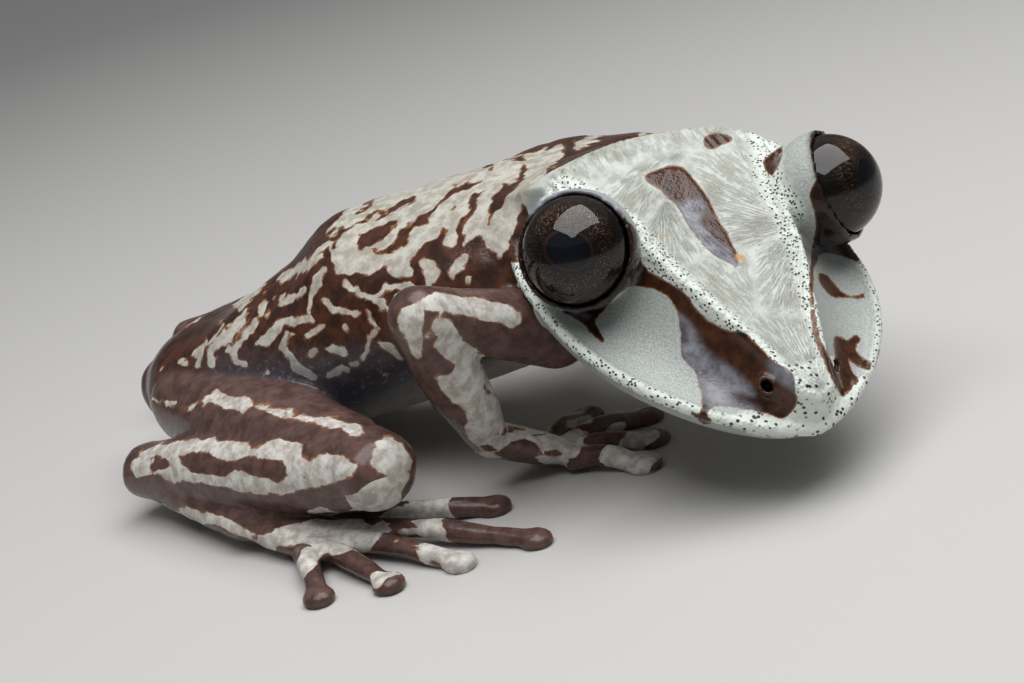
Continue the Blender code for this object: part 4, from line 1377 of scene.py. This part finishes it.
def from_crest_width(local):
    """How far each place of the head lies aside of the crest beside it, negative on the casque."""
    return np.abs(local[:, 1]) - np.interp(local[:, 0], *zip(*CREST_HALF_WIDTHS))


def streaks(points):
    """Where the fine lines of the casque lie, in a space in which they run along one axis, and how strong."""
    pixels, scale = in_photo(points)
    local = in_head(points)
    space, strength = fan_lines(pixels, scale)
    folds, in_rim = rim_folds(local)
    space[in_rim > 0] = folds[in_rim > 0]
    strength *= ramp(-from_crest_width(local), *LINES_FROM_CREST) * ramp(local[:, 2], *LINES_FROM_Z)
    strength *= ramp(np.abs(in_rim), *RIM_SEAM)
    ridges, in_strip = strip_ridges(pixels, scale)
    space[in_strip > 0] = ridges[in_strip > 0]
    ridged = ramp(np.abs(pixels[:, 1] - STRIP_TURN), *STRIP_TURN_SEAM)
    strength = np.where(in_strip > 0, ridged, strength) * ramp(np.abs(in_strip), *STRIP_SEAM)
    return space, strength


def lid_margin(local, side):
    """The narrow wet edge of the lids that lies against the eyeball, 0 to 1."""
    way = np.array(eye_way(side, LID_LEAN))
    offset = local - np.array((0.0, side * EYE_Y, 0.0))
    along = offset @ way
    across = np.sqrt(np.maximum((offset ** 2).sum(axis=1) - along ** 2, 0))
    band = ramp(along, *MARGIN_FROM) * (1 - ramp(along, *MARGIN_TO))
    return band * (1 - ramp(across, LID_RADIUS - MARGIN_EDGE, LID_RADIUS))


def margin_reflection_share(local):
    """How far each place of the right lids lies above the middle of the eye in the photo, 0 to 1: where the
    wet margin takes a painted reflection.
    """
    up = np.array(head_place().to_3x3().inverted() @ camera_axes()[1])
    return ramp((local - (0.0, -EYE_Y, 0.0)) @ up, *MARGIN_REFLECTION_RISE) * (local[:, 1] < 0)


def in_nostril(local):
    """How far inside a nostril's hole each place of the head lies, 0 to 1: where the hole's painted shade
    lies.
    """
    inner = moved_by(nostril_place(1).inverted(), on_left(local))
    away = np.linalg.norm(inner[:, :2] / NOSTRIL_HOLE, axis=1)
    return (1 - ramp(away, *NOSTRIL_EDGE)) * (np.abs(inner[:, 2]) < NOSTRIL_DEPTH)


def painted_sheen(points):
    """Where the photo shows a milky wet sheen on the brown of the head, painted as a reflection, 0 to 1."""
    pixels, scale = in_photo(points)
    return 1 - ramp(outside_all(pixels, PAINTED_FACE_SHEENS) * scale, *SHEEN_EDGE)


def paint(name, values):
    """Keeps a value at each vertex of the skin, for its material to read."""
    kind, field = ("FLOAT_VECTOR", "vector") if values.ndim == 2 else ("FLOAT", "value")
    layer = skin.data.attributes.new(name, kind, "POINT")
    layer.data.foreach_set(field, values.astype(np.float32).ravel())


def skin_lookup(points):
    """A search tree of the skin's vertices."""
    tree = KDTree(len(points))
    for index, point in enumerate(points):
        tree.insert(Vector(point), index)
    tree.balance()
    return tree


def set_on_model(obj):
    """Moves a piece from the frog's own frame, in millimetres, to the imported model's, in metres."""
    obj.data.transform(Matrix.Translation(-Vector(FOOTPRINT_MIDDLE)))
    obj.data.transform(Matrix.Scale(MM, 4))


# Which skin the photo shows, and which of it covers bone, trunk or limbs.
normals = normals_of(skin.data)
seen = seen_from_camera(places, normals, surface_tree([skin])).astype(float)
shown = np.maximum(seen, np.minimum(2 * spread(skin.data, seen, SHOWN_SPREAD), 1))
lookup = (skin_lookup(places), shown)
bone = head_share(places)
limb = ramp(distance_to(trunk_tree, places) - distance_to(limb_tree, places), *LIMB_MARKS_BLEND)
limb *= 1 - bone
trunk = (1 - bone) * (1 - limb)
local = in_head(places)
pixels, scale = in_photo(places)
mirrored = mirrored_head(local)

# The brown and pale, the parts with a colour or shine of their own, and the painted reflections and painted
# shade.
pale = bone * bony_marks(places, shown, lookup)
pale += trunk * trunk_marks(places, shown, lookup)
pale += (1 - bone) * limb * limb_marks(places, shown)
paint("pale", pale)
paint("bone", bone)
paint("limb", limb)
paint("belly", trunk * ramp(-normals[:, 2], *BELLY_DOWN))
paint("cool", trunk * ramp(places[:, 2], *COOL_BELOW_Z) * ramp(places[:, 0], *COOL_FROM_X))
margin = np.maximum(lid_margin(local, 1), lid_margin(local, -1)) * bone
paint("margin", margin)
paint("margin_reflection", margin_reflection_share(local))
# The painted reflection of the soft light on the head's wet brown, repeated on its hidden side.
painted_reflection = (shown * painted_sheen(places) + (1 - shown) * painted_sheen(mirrored) * shown_at(mirrored, lookup)) * bone
paint("painted_reflection", painted_reflection)
orange = 1 - ramp(outside_all(pixels, (), ORANGE_SPOTS) * scale, *ORANGE_EDGE)
paint("orange", shown * bone * orange)
hole_shade = shown * (1 - ramp(outside_all(pixels, (), HOLLOW_SHADE_SPOTS) * scale, *HOLLOW_SHADE_EDGE))
paint("hole_shade", np.maximum(hole_shade, in_nostril(local)) * bone)
wet = ramp(outside_all(pixels, (RIGHT_EYE_SKIN, LEFT_EYE_SKIN)) * scale, *WET_EDGE)
paint("wet", np.maximum(wet * bone * shown * (1 - painted_reflection), margin))
paint("granules", granular(local) * bone)
paint("cheek", ramp(from_crest_width(local), *CHEEK_FROM_CREST) * bone)
line_space, line_strength = streaks(places)
paint("streaks", line_space)
paint("lined", line_strength * bone)
paint("snout", ramp(local[:, 0], *SNOUT_FROM_X) * ramp(local[:, 2], *SNOUT_FROM_Z) * bone)

flesh = [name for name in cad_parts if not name.startswith("eye_")]
set_on_model(skin)
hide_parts(*flesh)
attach(skin, "root")

# The skin is thin, moist and smooth. Pale greyish white and reddish brown meet at sharp, wavy borders with
# a thin rusty edge. White granules with dark pits sit on the crests, the lip and the snout, and fine
# lines spread over the casque.
PALE_BONE = ((0.33, 0.34, 0.30, 1), (0.53, 0.56, 0.52, 1))
PALE_CHEEK = ((0.28, 0.30, 0.28, 1), (0.45, 0.48, 0.46, 1))
PALE_LINE = (0.24, 0.23, 0.17, 1)
PALE_BODY = ((0.33, 0.30, 0.25, 1), (0.52, 0.50, 0.44, 1))
PALE_LIMB = ((0.38, 0.34, 0.30, 1), (0.64, 0.62, 0.58, 1))
WHITE_GRANULE = (0.66, 0.71, 0.65, 1)
DARK_PIT = (0.035, 0.03, 0.024, 1)
BROWN_BONE = ((0.030, 0.011, 0.006, 1), (0.066, 0.024, 0.011, 1))
BROWN_BODY = ((0.030, 0.012, 0.008, 1), (0.075, 0.027, 0.015, 1))
BROWN_LIMB = ((0.065, 0.034, 0.029, 1), (0.120, 0.066, 0.055, 1))
RUSTY_EDGE = (0.24, 0.11, 0.045, 1)
# A painted reflection: the lavender grey that stands for the soft light's sheen on the wet brown of the head.
PAINTED_SHEEN_COLOURS = ((0.075, 0.07, 0.08, 1), (0.25, 0.25, 0.29, 1))
COOL_FLANK = ((0.070, 0.072, 0.092, 1), (0.26, 0.29, 0.32, 1))
ORANGE_BUMP = (0.48, 0.27, 0.13, 1)
# Painted shade: near black for the inside of the nostril holes and a hollow in the brown band.
PAINTED_HOLE_SHADE = (0.004, 0.003, 0.003, 1)
CREAM_BELLY = (0.42, 0.38, 0.32, 1)
# The wet lid margin: its own dark brown below, and above it a painted reflection of the soft light in
# lavender grey.
LID_MARGIN_AND_REFLECTION = ((0.018, 0.010, 0.008, 1), (0.26, 0.25, 0.29, 1))
WET_BROWN = (0.016, 0.008, 0.006, 1)

# The clouds that mix a pair of colours: their scale, detail and roughness, and the heights of the noise
# between which one colour gives way to the other.
BONE_CLOUDS = (0.6, 4.0, 0.62, 0.30, 0.66)
CHEEK_GRAIN = (9.0, 2.0, 0.7, 0.33, 0.67)
BODY_CLOUDS = (1.1, 3.0, 0.65, 0.35, 0.65)
LIMB_CLOUDS = (1.2, 3.0, 0.65, 0.35, 0.65)
BROWN_BONE_CLOUDS = (1.2, 3.0, 0.6, 0.35, 0.65)
BROWN_BODY_CLOUDS = (0.8, 3.0, 0.6, 0.35, 0.65)
BROWN_LIMB_CLOUDS = (0.9, 3.0, 0.65, 0.35, 0.65)
PAINTED_SHEEN_CLOUDS = (0.9, 4.0, 0.6, 0.3, 0.7)
FLANK_SPECKS = (2.2, 4.0, 0.7, 0.54, 0.66)
FINE_LINES = (1.0, 3.0, 0.6)
LINE_EDGE = (0.56, 0.42)
LINE_DARKNESS = 0.5
WHITENED = (0.2, 0.8)
BORDER_WAVES = (2.0, 4.0, 0.6)
BORDER_WAVE_HEIGHTS = (0.36, 0.28)
BORDER_WIDTH = (-0.04, 0.04)
RUSTY_WIDTH = (-0.13, -0.02)

# How much of the flank's cool grey lies on its pale, on its brown and in the specks.
COOL_SHARES = (0.7, 0.9, 0.5)

# The pits among the granules: the scale of their pattern, where a pit's edge falls, and how many there are.
SMALL_PITS = (3.8, (0.40, 0.24), (0.12, 0.2))
WIDE_PITS = (2.5, (0.36, 0.22), (0.2, 0.3))
PITTED = (0.30, 0.55)

# How rough the skin is, and what raises it, in millimetres.
ROUGHNESS = 0.24
PALE_ROUGHNESS = 0.22
ROUGHNESS_CLOUDS = (2.0, 3.0, 0.5)
ROUGHNESS_WAVE = 0.12
SHEEN_SMOOTHING = -0.08
WET_SMOOTHNESS = 0.35
STRIP_SMOOTHNESS = 0.55
SKIN_SPECULAR = 0.35
BEADS_SCALE = 2.9
BEAD_EDGE = (0.6, 0.0)
BEAD_HEIGHT = 0.06
PIT_DEPTH = -0.05
LINE_DEPTH = -0.035
RIDGE_HEIGHT = 0.08
GRAIN = (4.0, 2.0, 0.6)
GRAIN_HEIGHT = 0.022
PALE_HEIGHT = 0.02


def add(tree, kind, **values):
    """A shader node with its input values and settings."""
    made = tree.nodes.new(kind)
    for name, value in values.items():
        if name in made.inputs:
            made.inputs[name].default_value = value
        else:
            setattr(made, name, value)
    return made


def new_material(name):
    """A material with an empty principled shader, and its tree."""
    material = bpy.data.materials.new(name)
    material.use_nodes = True
    return material, material.node_tree, material.node_tree.nodes["Principled BSDF"]


def feed(tree, socket, source):
    """Sets a socket to a value, or links it to another node's output."""
    if isinstance(source, bpy.types.NodeSocket):
        tree.links.new(source, socket)
    else:
        socket.default_value = source


def reckon(tree, operation, *sources):
    """A sum, product or the like of numbers."""
    made = add(tree, "ShaderNodeMath", operation=operation)
    for socket, source in zip(made.inputs, sources):
        feed(tree, socket, source)
    return made.outputs["Value"]


def times(tree, first, *others):
    """The product of numbers."""
    for other in others:
        first = reckon(tree, "MULTIPLY", first, other)
    return first


def rest(tree, share):
    """What is left of one."""
    return reckon(tree, "SUBTRACT", 1.0, share)


def rise(tree, source, low, high, least=0.0, most=1.0):
    """Goes smoothly from least to most as the source goes from low to high."""
    made = add(tree, "ShaderNodeMapRange", interpolation_type="SMOOTHSTEP")
    for name, value in (("Value", source), ("From Min", low), ("From Max", high), ("To Min", least),
                        ("To Max", most)):
        feed(tree, made.inputs[name], value)
    return made.outputs["Result"]


def between(tree, share, first, second):
    """A colour between two others."""
    made = add(tree, "ShaderNodeMixRGB")
    for name, value in (("Fac", share), ("Color1", first), ("Color2", second)):
        feed(tree, made.inputs[name], value)
    return made.outputs["Color"]


def mottle(tree, place, scale, detail=2.0, rough=0.5):
    """Soft noise about one half."""
    made = add(tree, "ShaderNodeTexNoise", Scale=scale, Detail=detail, Roughness=rough)
    tree.links.new(place, made.inputs["Vector"])
    return made.outputs["Fac"]


def clouds(tree, place, pattern):
    """Where a mottled pattern lies over its two heights, 0 to 1."""
    scale, detail, rough, low, high = pattern
    return rise(tree, mottle(tree, place, scale, detail, rough), low, high)


def cells(tree, place, scale):
    """The distance to the middle of the nearest of many random cells, and that cell's random number."""
    made = add(tree, "ShaderNodeTexVoronoi", Scale=scale)
    tree.links.new(place, made.inputs["Vector"])
    parts = add(tree, "ShaderNodeSeparateColor")
    tree.links.new(made.outputs["Color"], parts.inputs["Color"])
    return made.outputs["Distance"], parts.outputs["Red"]


def pits(tree, place, pattern):
    """Small round pits in some of the cells, 0 to 1."""
    scale, edge, chosen = pattern
    apart, chance = cells(tree, place, scale)
    return times(tree, rise(tree, apart, *edge), rise(tree, chance, *chosen))


def kept(tree, name, output="Fac"):
    """A value that the skin keeps at its vertices."""
    return add(tree, "ShaderNodeAttribute", attribute_name=name).outputs[output]


def millimetres(tree):
    """The place on the object, in millimetres."""
    scaled = add(tree, "ShaderNodeMapping", Scale=(1 / MM, 1 / MM, 1 / MM))
    tree.links.new(add(tree, "ShaderNodeTexCoord").outputs["Object"], scaled.inputs["Vector"])
    return scaled.outputs["Vector"]


def border(tree, place, bone):
    """Which skin is pale, and how rusty its edge is."""
    height = rise(tree, bone, 0.0, 1.0, *BORDER_WAVE_HEIGHTS)
    wave = times(tree, reckon(tree, "SUBTRACT", mottle(tree, place, *BORDER_WAVES), 0.5), height)
    field = reckon(tree, "ADD", kept(tree, "pale"), wave)
    is_pale = rise(tree, field, *BORDER_WIDTH)
    return is_pale, times(tree, rise(tree, field, *RUSTY_WIDTH), rest(tree, is_pale))


def by_part(tree, bone, limb, on_body, on_limb, on_bone):
    """The colour of the trunk, the limbs or the head."""
    return between(tree, bone, between(tree, limb, on_body, on_limb), on_bone)


def pale_colour(tree, place, bone, limb, lines):
    """The pale of the skin, with the fine lines of the casque and the grain of the cheeks."""
    body = between(tree, clouds(tree, place, BODY_CLOUDS), *PALE_BODY)
    limbs = between(tree, clouds(tree, place, LIMB_CLOUDS), *PALE_LIMB)
    casque = between(tree, clouds(tree, place, BONE_CLOUDS), *PALE_BONE)
    casque = between(tree, times(tree, lines, LINE_DARKNESS), casque, PALE_LINE)
    grain = between(tree, clouds(tree, place, CHEEK_GRAIN), *PALE_CHEEK)
    return by_part(tree, bone, limb, body, limbs, between(tree, kept(tree, "cheek"), casque, grain))


def brown_colour(tree, place, bone, limb):
    """The brown of the skin."""
    body = between(tree, clouds(tree, place, BROWN_BODY_CLOUDS), *BROWN_BODY)
    limbs = between(tree, clouds(tree, place, BROWN_LIMB_CLOUDS), *BROWN_LIMB)
    head = between(tree, clouds(tree, place, BROWN_BONE_CLOUDS), *BROWN_BONE)
    return by_part(tree, bone, limb, body, limbs, head)


def skin_finish():
    """The material of the whole skin."""
    material, tree, surface = new_material("frog_skin")
    place = millimetres(tree)
    bone = kept(tree, "bone")
    limb = kept(tree, "limb")
    margin = kept(tree, "margin")
    painted_reflection = kept(tree, "painted_reflection")
    lined = kept(tree, "lined")
    snout = kept(tree, "snout")
    cool = kept(tree, "cool")
    is_pale, edge = border(tree, place, bone)
    is_brown = rest(tree, is_pale)
    wet_brown = times(tree, kept(tree, "wet"), is_brown)
    line_noise = mottle(tree, kept(tree, "streaks", "Vector"), *FINE_LINES)
    lines = times(tree, rise(tree, line_noise, *LINE_EDGE), lined)
    granules = times(tree, kept(tree, "granules"), is_pale)
    small = times(tree, pits(tree, place, SMALL_PITS), rest(tree, snout))
    wide = times(tree, pits(tree, place, WIDE_PITS), snout)
    pit = times(tree, reckon(tree, "ADD", small, wide), rise(tree, granules, *PITTED))

    # The colour.
    pale = pale_colour(tree, place, bone, limb, lines)
    pale = between(tree, rise(tree, granules, *WHITENED), pale, WHITE_GRANULE)
    pale = between(tree, pit, pale, DARK_PIT)
    pale = between(tree, times(tree, cool, COOL_SHARES[0]), pale, COOL_FLANK[1])
    brown = brown_colour(tree, place, bone, limb)
    brown = between(tree, edge, brown, RUSTY_EDGE)
    # Painted reflection: lavender grey laid over the brown where the wet skin mirrors the soft light.
    brown = between(tree, painted_reflection, brown, between(tree, clouds(tree, place, PAINTED_SHEEN_CLOUDS), *PAINTED_SHEEN_COLOURS))
    brown = between(tree, times(tree, cool, COOL_SHARES[1]), brown, COOL_FLANK[0])
    specks = times(tree, cool, clouds(tree, place, FLANK_SPECKS), COOL_SHARES[2])
    brown = between(tree, specks, brown, COOL_FLANK[1])
    colour = between(tree, is_pale, brown, pale)
    colour = between(tree, kept(tree, "belly"), colour, CREAM_BELLY)
    colour = between(tree, wet_brown, colour, WET_BROWN)
    # The lid margin, with a painted reflection on its upper part.
    colour = between(tree, margin, colour, between(tree, kept(tree, "margin_reflection"), *LID_MARGIN_AND_REFLECTION))
    colour = between(tree, kept(tree, "orange"), colour, ORANGE_BUMP)
    # Painted shade in the nostril holes and the hollow.
    colour = between(tree, kept(tree, "hole_shade"), colour, PAINTED_HOLE_SHADE)
    tree.links.new(colour, surface.inputs["Base Color"])

    # How rough it is: smoother where it is wet.
    dull = reckon(tree, "MULTIPLY_ADD", is_pale, PALE_ROUGHNESS, ROUGHNESS - ROUGHNESS_WAVE / 2)
    dull = reckon(tree, "MULTIPLY_ADD", mottle(tree, place, *ROUGHNESS_CLOUDS), ROUGHNESS_WAVE, dull)
    dull = reckon(tree, "MULTIPLY_ADD", painted_reflection, SHEEN_SMOOTHING, dull)
    wetness = reckon(tree, "MAXIMUM", margin, wet_brown)
    rough = times(tree, dull, rise(tree, wetness, 0.0, 1.0, 1.0, WET_SMOOTHNESS))
    ridged = times(tree, lined, is_brown)
    rough = times(tree, rough, rise(tree, ridged, 0.0, 1.0, 1.0, STRIP_SMOOTHNESS))
    tree.links.new(rough, surface.inputs["Roughness"])

    # What raises it: beads, pits, fine lines and a fine grain.
    beads, _ = cells(tree, place, BEADS_SCALE)
    height = times(tree, rise(tree, beads, *BEAD_EDGE), granules, BEAD_HEIGHT)
    height = reckon(tree, "MULTIPLY_ADD", pit, PIT_DEPTH, height)
    height = reckon(tree, "MULTIPLY_ADD", times(tree, lines, LINE_DEPTH), is_pale, height)
    height = reckon(tree, "MULTIPLY_ADD", times(tree, line_noise, ridged), RIDGE_HEIGHT, height)
    height = reckon(tree, "MULTIPLY_ADD", mottle(tree, place, *GRAIN), GRAIN_HEIGHT, height)
    height = reckon(tree, "MULTIPLY_ADD", is_pale, PALE_HEIGHT, height)
    bump = add(tree, "ShaderNodeBump", Distance=MM)
    tree.links.new(height, bump.inputs["Height"])
    tree.links.new(bump.outputs["Normal"], surface.inputs["Normal"])
    surface.inputs["Specular IOR Level"].default_value = SKIN_SPECULAR
    return material


skin.data.materials.append(skin_finish())

# Each eyeball is a dark ball with a flat iris under a clear, wet, round cornea. The iris is dark brown with
# fine copper specks, and the pupil is a rounded, level oval.
EYE_FACES = (128, 64)
IRIS_DEPTH = 0.8
BALL_SHARE = 0.985
PUPIL_HALF_WIDTH = 1.45
PUPIL_HALF_HEIGHT = 1.15
PUPIL_EDGE = (1.03, 0.99)
PUPIL_RING_EDGE = (1.22, 1.10)
IRIS_RADIUS = 3.3
SPECKS_WITHIN = 2.4
SPECKS_BEYOND_PUPIL = (1.15, 1.5)
SPOKES = 16.0
SPOKE_RUN = 2.4
SPOKE_NOISE = (1.6, 4.0, 0.7)
SPOKE_EDGE = (0.35, 0.65)
SPECKED_SPOKES = (0.47, 0.60)
SPECKS = (11.0, 3.0, 0.7, 0.52, 0.60)
IRIS_ROUGHNESS = 0.8
IRIS_SPECULAR = 0.1
CORNEA_ROUGHNESS = 0.01
CORNEA_IOR = 1.5
IRIS_BROWN = ((0.003, 0.002, 0.0015, 1), (0.022, 0.010, 0.005, 1))
IRIS_SPECK = (0.60, 0.29, 0.13, 1)
PUPIL_RING = (0.055, 0.024, 0.013, 1)
PUPIL_BLUE = (0.002, 0.004, 0.010, 1)


def level_axes(side):
    """The eye's own axes as a matrix: level, up and out, in the head's frame."""
    out = eye_way(side)
    level = Vector((0, 0, 1)).cross(out).normalized()
    return Matrix((level, out.cross(level), out))


def round_eye(side, name, radius, depth):
    """A closed ball in the place of an eye, with its front flattened where it reaches past the depth."""
    around, along = EYE_FACES
    bm = bmesh.new()
    bmesh.ops.create_uvsphere(bm, u_segments=around, v_segments=along, radius=radius)
    for vert in bm.verts:
        vert.co.z = min(vert.co.z, depth)
    bmesh.ops.transform(bm, matrix=head_place() @ eye_place(side), verts=bm.verts)
    return closed_object(name, bm)


def eye_ball(side, name):
    """The inside of the eye: a ball whose front is flattened to the iris."""
    made = round_eye(side, name, EYE_RADIUS * BALL_SHARE, EYE_RADIUS * IRIS_DEPTH)
    middle = np.array((0.0, side * EYE_Y, 0.0))
    looks = (in_head(places_of(made.data)) - middle) @ np.array(level_axes(side)).T
    layer = made.data.attributes.new("looks", "FLOAT_VECTOR", "POINT")
    layer.data.foreach_set("vector", looks.astype(np.float32).ravel())
    return made


def cornea(side, name):
    """The clear round front of the eye, made as a whole ball over its inside."""
    return round_eye(side, name, EYE_RADIUS, EYE_RADIUS)


def finished(obj, material):
    """Sets a piece on the model, smooth, with its material."""
    set_on_model(obj)
    obj.data.shade_smooth()
    obj.data.materials.append(material)
    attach(obj, "root")
    return obj


def length_of(tree, x, y):
    """How long a flat step is, from its two parts."""
    return reckon(tree, "SQRT", reckon(tree, "MULTIPLY_ADD", x, x, times(tree, y, y)))


def iris_finish():
    """Dark brown with copper specks that lie along lines out from the pupil."""
    material, tree, surface = new_material("iris")
    looks = kept(tree, "looks", "Vector")
    parts = add(tree, "ShaderNodeSeparateXYZ")
    tree.links.new(looks, parts.inputs["Vector"])
    x, y = parts.outputs["X"], parts.outputs["Y"]
    out = length_of(tree, x, y)
    around = add(tree, "ShaderNodeCombineXYZ")
    for name, part in (("X", x), ("Y", y)):
        tree.links.new(times(tree, reckon(tree, "DIVIDE", part, out), SPOKES), around.inputs[name])
    tree.links.new(times(tree, out, SPOKE_RUN), around.inputs["Z"])
    spokes = mottle(tree, around.outputs["Vector"], *SPOKE_NOISE)
    wide = reckon(tree, "DIVIDE", x, PUPIL_HALF_WIDTH)
    oval = length_of(tree, wide, reckon(tree, "DIVIDE", y, PUPIL_HALF_HEIGHT))
    bright = times(tree, rise(tree, spokes, *SPECKED_SPOKES), clouds(tree, looks, SPECKS))
    zone = times(tree, rise(tree, oval, *SPECKS_BEYOND_PUPIL), rise(tree, out, IRIS_RADIUS, SPECKS_WITHIN))
    colour = between(tree, rise(tree, spokes, *SPOKE_EDGE), *IRIS_BROWN)
    colour = between(tree, times(tree, bright, zone), colour, IRIS_SPECK)
    colour = between(tree, rise(tree, oval, *PUPIL_RING_EDGE), colour, PUPIL_RING)
    colour = between(tree, rise(tree, oval, *PUPIL_EDGE), colour, PUPIL_BLUE)
    tree.links.new(colour, surface.inputs["Base Color"])
    surface.inputs["Roughness"].default_value = IRIS_ROUGHNESS
    surface.inputs["Specular IOR Level"].default_value = IRIS_SPECULAR
    return material


def cornea_finish():
    """Clear, with the wet gloss of a smooth round surface."""
    material, tree, surface = new_material("cornea")
    tree.nodes.remove(surface)
    clear = add(tree, "ShaderNodeBsdfTransparent")
    gloss = add(tree, "ShaderNodeBsdfGlossy", Roughness=CORNEA_ROUGHNESS)
    edge = add(tree, "ShaderNodeFresnel", IOR=CORNEA_IOR)
    both = add(tree, "ShaderNodeMixShader")
    tree.links.new(edge.outputs["Fac"], both.inputs["Fac"])
    tree.links.new(clear.outputs["BSDF"], both.inputs[1])
    tree.links.new(gloss.outputs["BSDF"], both.inputs[2])
    tree.links.new(both.outputs["Shader"], tree.nodes["Material Output"].inputs["Surface"])
    return material


cornea_material = cornea_finish()
iris_material = iris_finish()
for side, word in ((1, "left"), (-1, "right")):
    inner = finished(eye_ball(side, "eye_inner_" + word), iris_material)
    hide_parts("eye_" + word)
    outer = finished(cornea(side, "cornea_" + word), cornea_material)

# The stage is a plain pale floor that rises softly all round. One large soft light hangs above the camera,
# and faint even light comes from all round. The camera looks from where the photo was taken.
FLOOR_RADIUS = 0.34
STAGE_RADIUS = 0.8
STAGE_RISE = 0.42
STAGE_SIDES = 96
STAGE_STEPS = 16
FLOOR_GREY = (0.50, 0.49, 0.475, 1.0)
FLOOR_ROUGHNESS = 0.7
CAMERA_LENS = 66.31
SENSOR_WIDTH = 36
CAMERA_SEES = (0.001, 10)
KEY_RISE = 62.0
KEY_ASIDE = 0.1
KEY_DISTANCE = 0.24
KEY_AIM = (0.012, 0.0, 0.014)
KEY_SIZE = (0.33, 0.25)
KEY_POWER = 1.08
ROOM_LIGHT = (0.9, 0.95, 1.0, 1.0)
ROOM_STRENGTH = 0.22


def stage_floor():
    """A round floor whose edge curves up to a rim."""
    bm = bmesh.new()
    bmesh.ops.create_circle(bm, segments=STAGE_SIDES, radius=FLOOR_RADIUS, cap_ends=True)
    rim = [edge for edge in bm.edges if edge.is_boundary]
    for step in range(1, STAGE_STEPS + 1):
        made = bmesh.ops.extrude_edge_only(bm, edges=rim)["geom"]
        verts = [item for item in made if isinstance(item, bmesh.types.BMVert)]
        rim = [item for item in made if isinstance(item, bmesh.types.BMEdge) and item.is_boundary]
        turn = step / STAGE_STEPS * pi / 2
        reach = FLOOR_RADIUS + (STAGE_RADIUS - FLOOR_RADIUS) * sin(turn)
        for vert in verts:
            flat = Vector((vert.co.x, vert.co.y, 0)).normalized() * reach
            vert.co = Vector((flat.x, flat.y, STAGE_RISE * (1 - cos(turn))))
    bmesh.ops.recalc_face_normals(bm, faces=bm.faces)
    return add_object("floor", bm)


floor = stage_floor()
floor.data.shade_smooth()
floor_material, tree, surface = new_material("floor")
surface.inputs["Base Color"].default_value = FLOOR_GREY
surface.inputs["Roughness"].default_value = FLOOR_ROUGHNESS
floor.data.materials.append(floor_material)


def place_camera():
    """The photo's camera, in metres."""
    right, up, back, place = camera_axes()
    camera = bpy.data.objects.new("camera", bpy.data.cameras.new("camera"))
    bpy.context.scene.collection.objects.link(camera)
    camera.data.sensor_width = SENSOR_WIDTH
    camera.data.lens = CAMERA_LENS
    camera.data.clip_start, camera.data.clip_end = CAMERA_SEES
    spot = (place - Vector(FOOTPRINT_MIDDLE)) * MM
    rows = [(*axes, spot[index]) for index, axes in enumerate(zip(right, up, back))]
    camera.matrix_world = Matrix(rows + [(0, 0, 0, 1)])
    bpy.context.scene.camera = camera


def key_light():
    """The large soft light, above the camera and a little to its left."""
    right, up, back, _ = camera_axes()
    way = back * cos(radians(KEY_RISE)) + up * sin(radians(KEY_RISE)) - right * KEY_ASIDE
    light = bpy.data.lights.new("key", "AREA")
    light.shape = "RECTANGLE"
    light.size, light.size_y = KEY_SIZE
    light.energy = KEY_POWER
    lamp = bpy.data.objects.new("key", light)
    bpy.context.scene.collection.objects.link(lamp)
    lamp.location = Vector(KEY_AIM) + way.normalized() * KEY_DISTANCE
    lamp.rotation_euler = (-way).to_track_quat("-Z", "Y").to_euler()
    lamp.visible_camera = False


def room_light():
    """The faint even light of the room."""
    world = bpy.data.worlds.new("room")
    bpy.context.scene.world = world
    world.use_nodes = True
    world.node_tree.nodes["Background"].inputs["Color"].default_value = ROOM_LIGHT
    world.node_tree.nodes["Background"].inputs["Strength"].default_value = ROOM_STRENGTH


place_camera()
key_light()
room_light()
bpy.context.scene.view_settings.view_transform = "Standard"
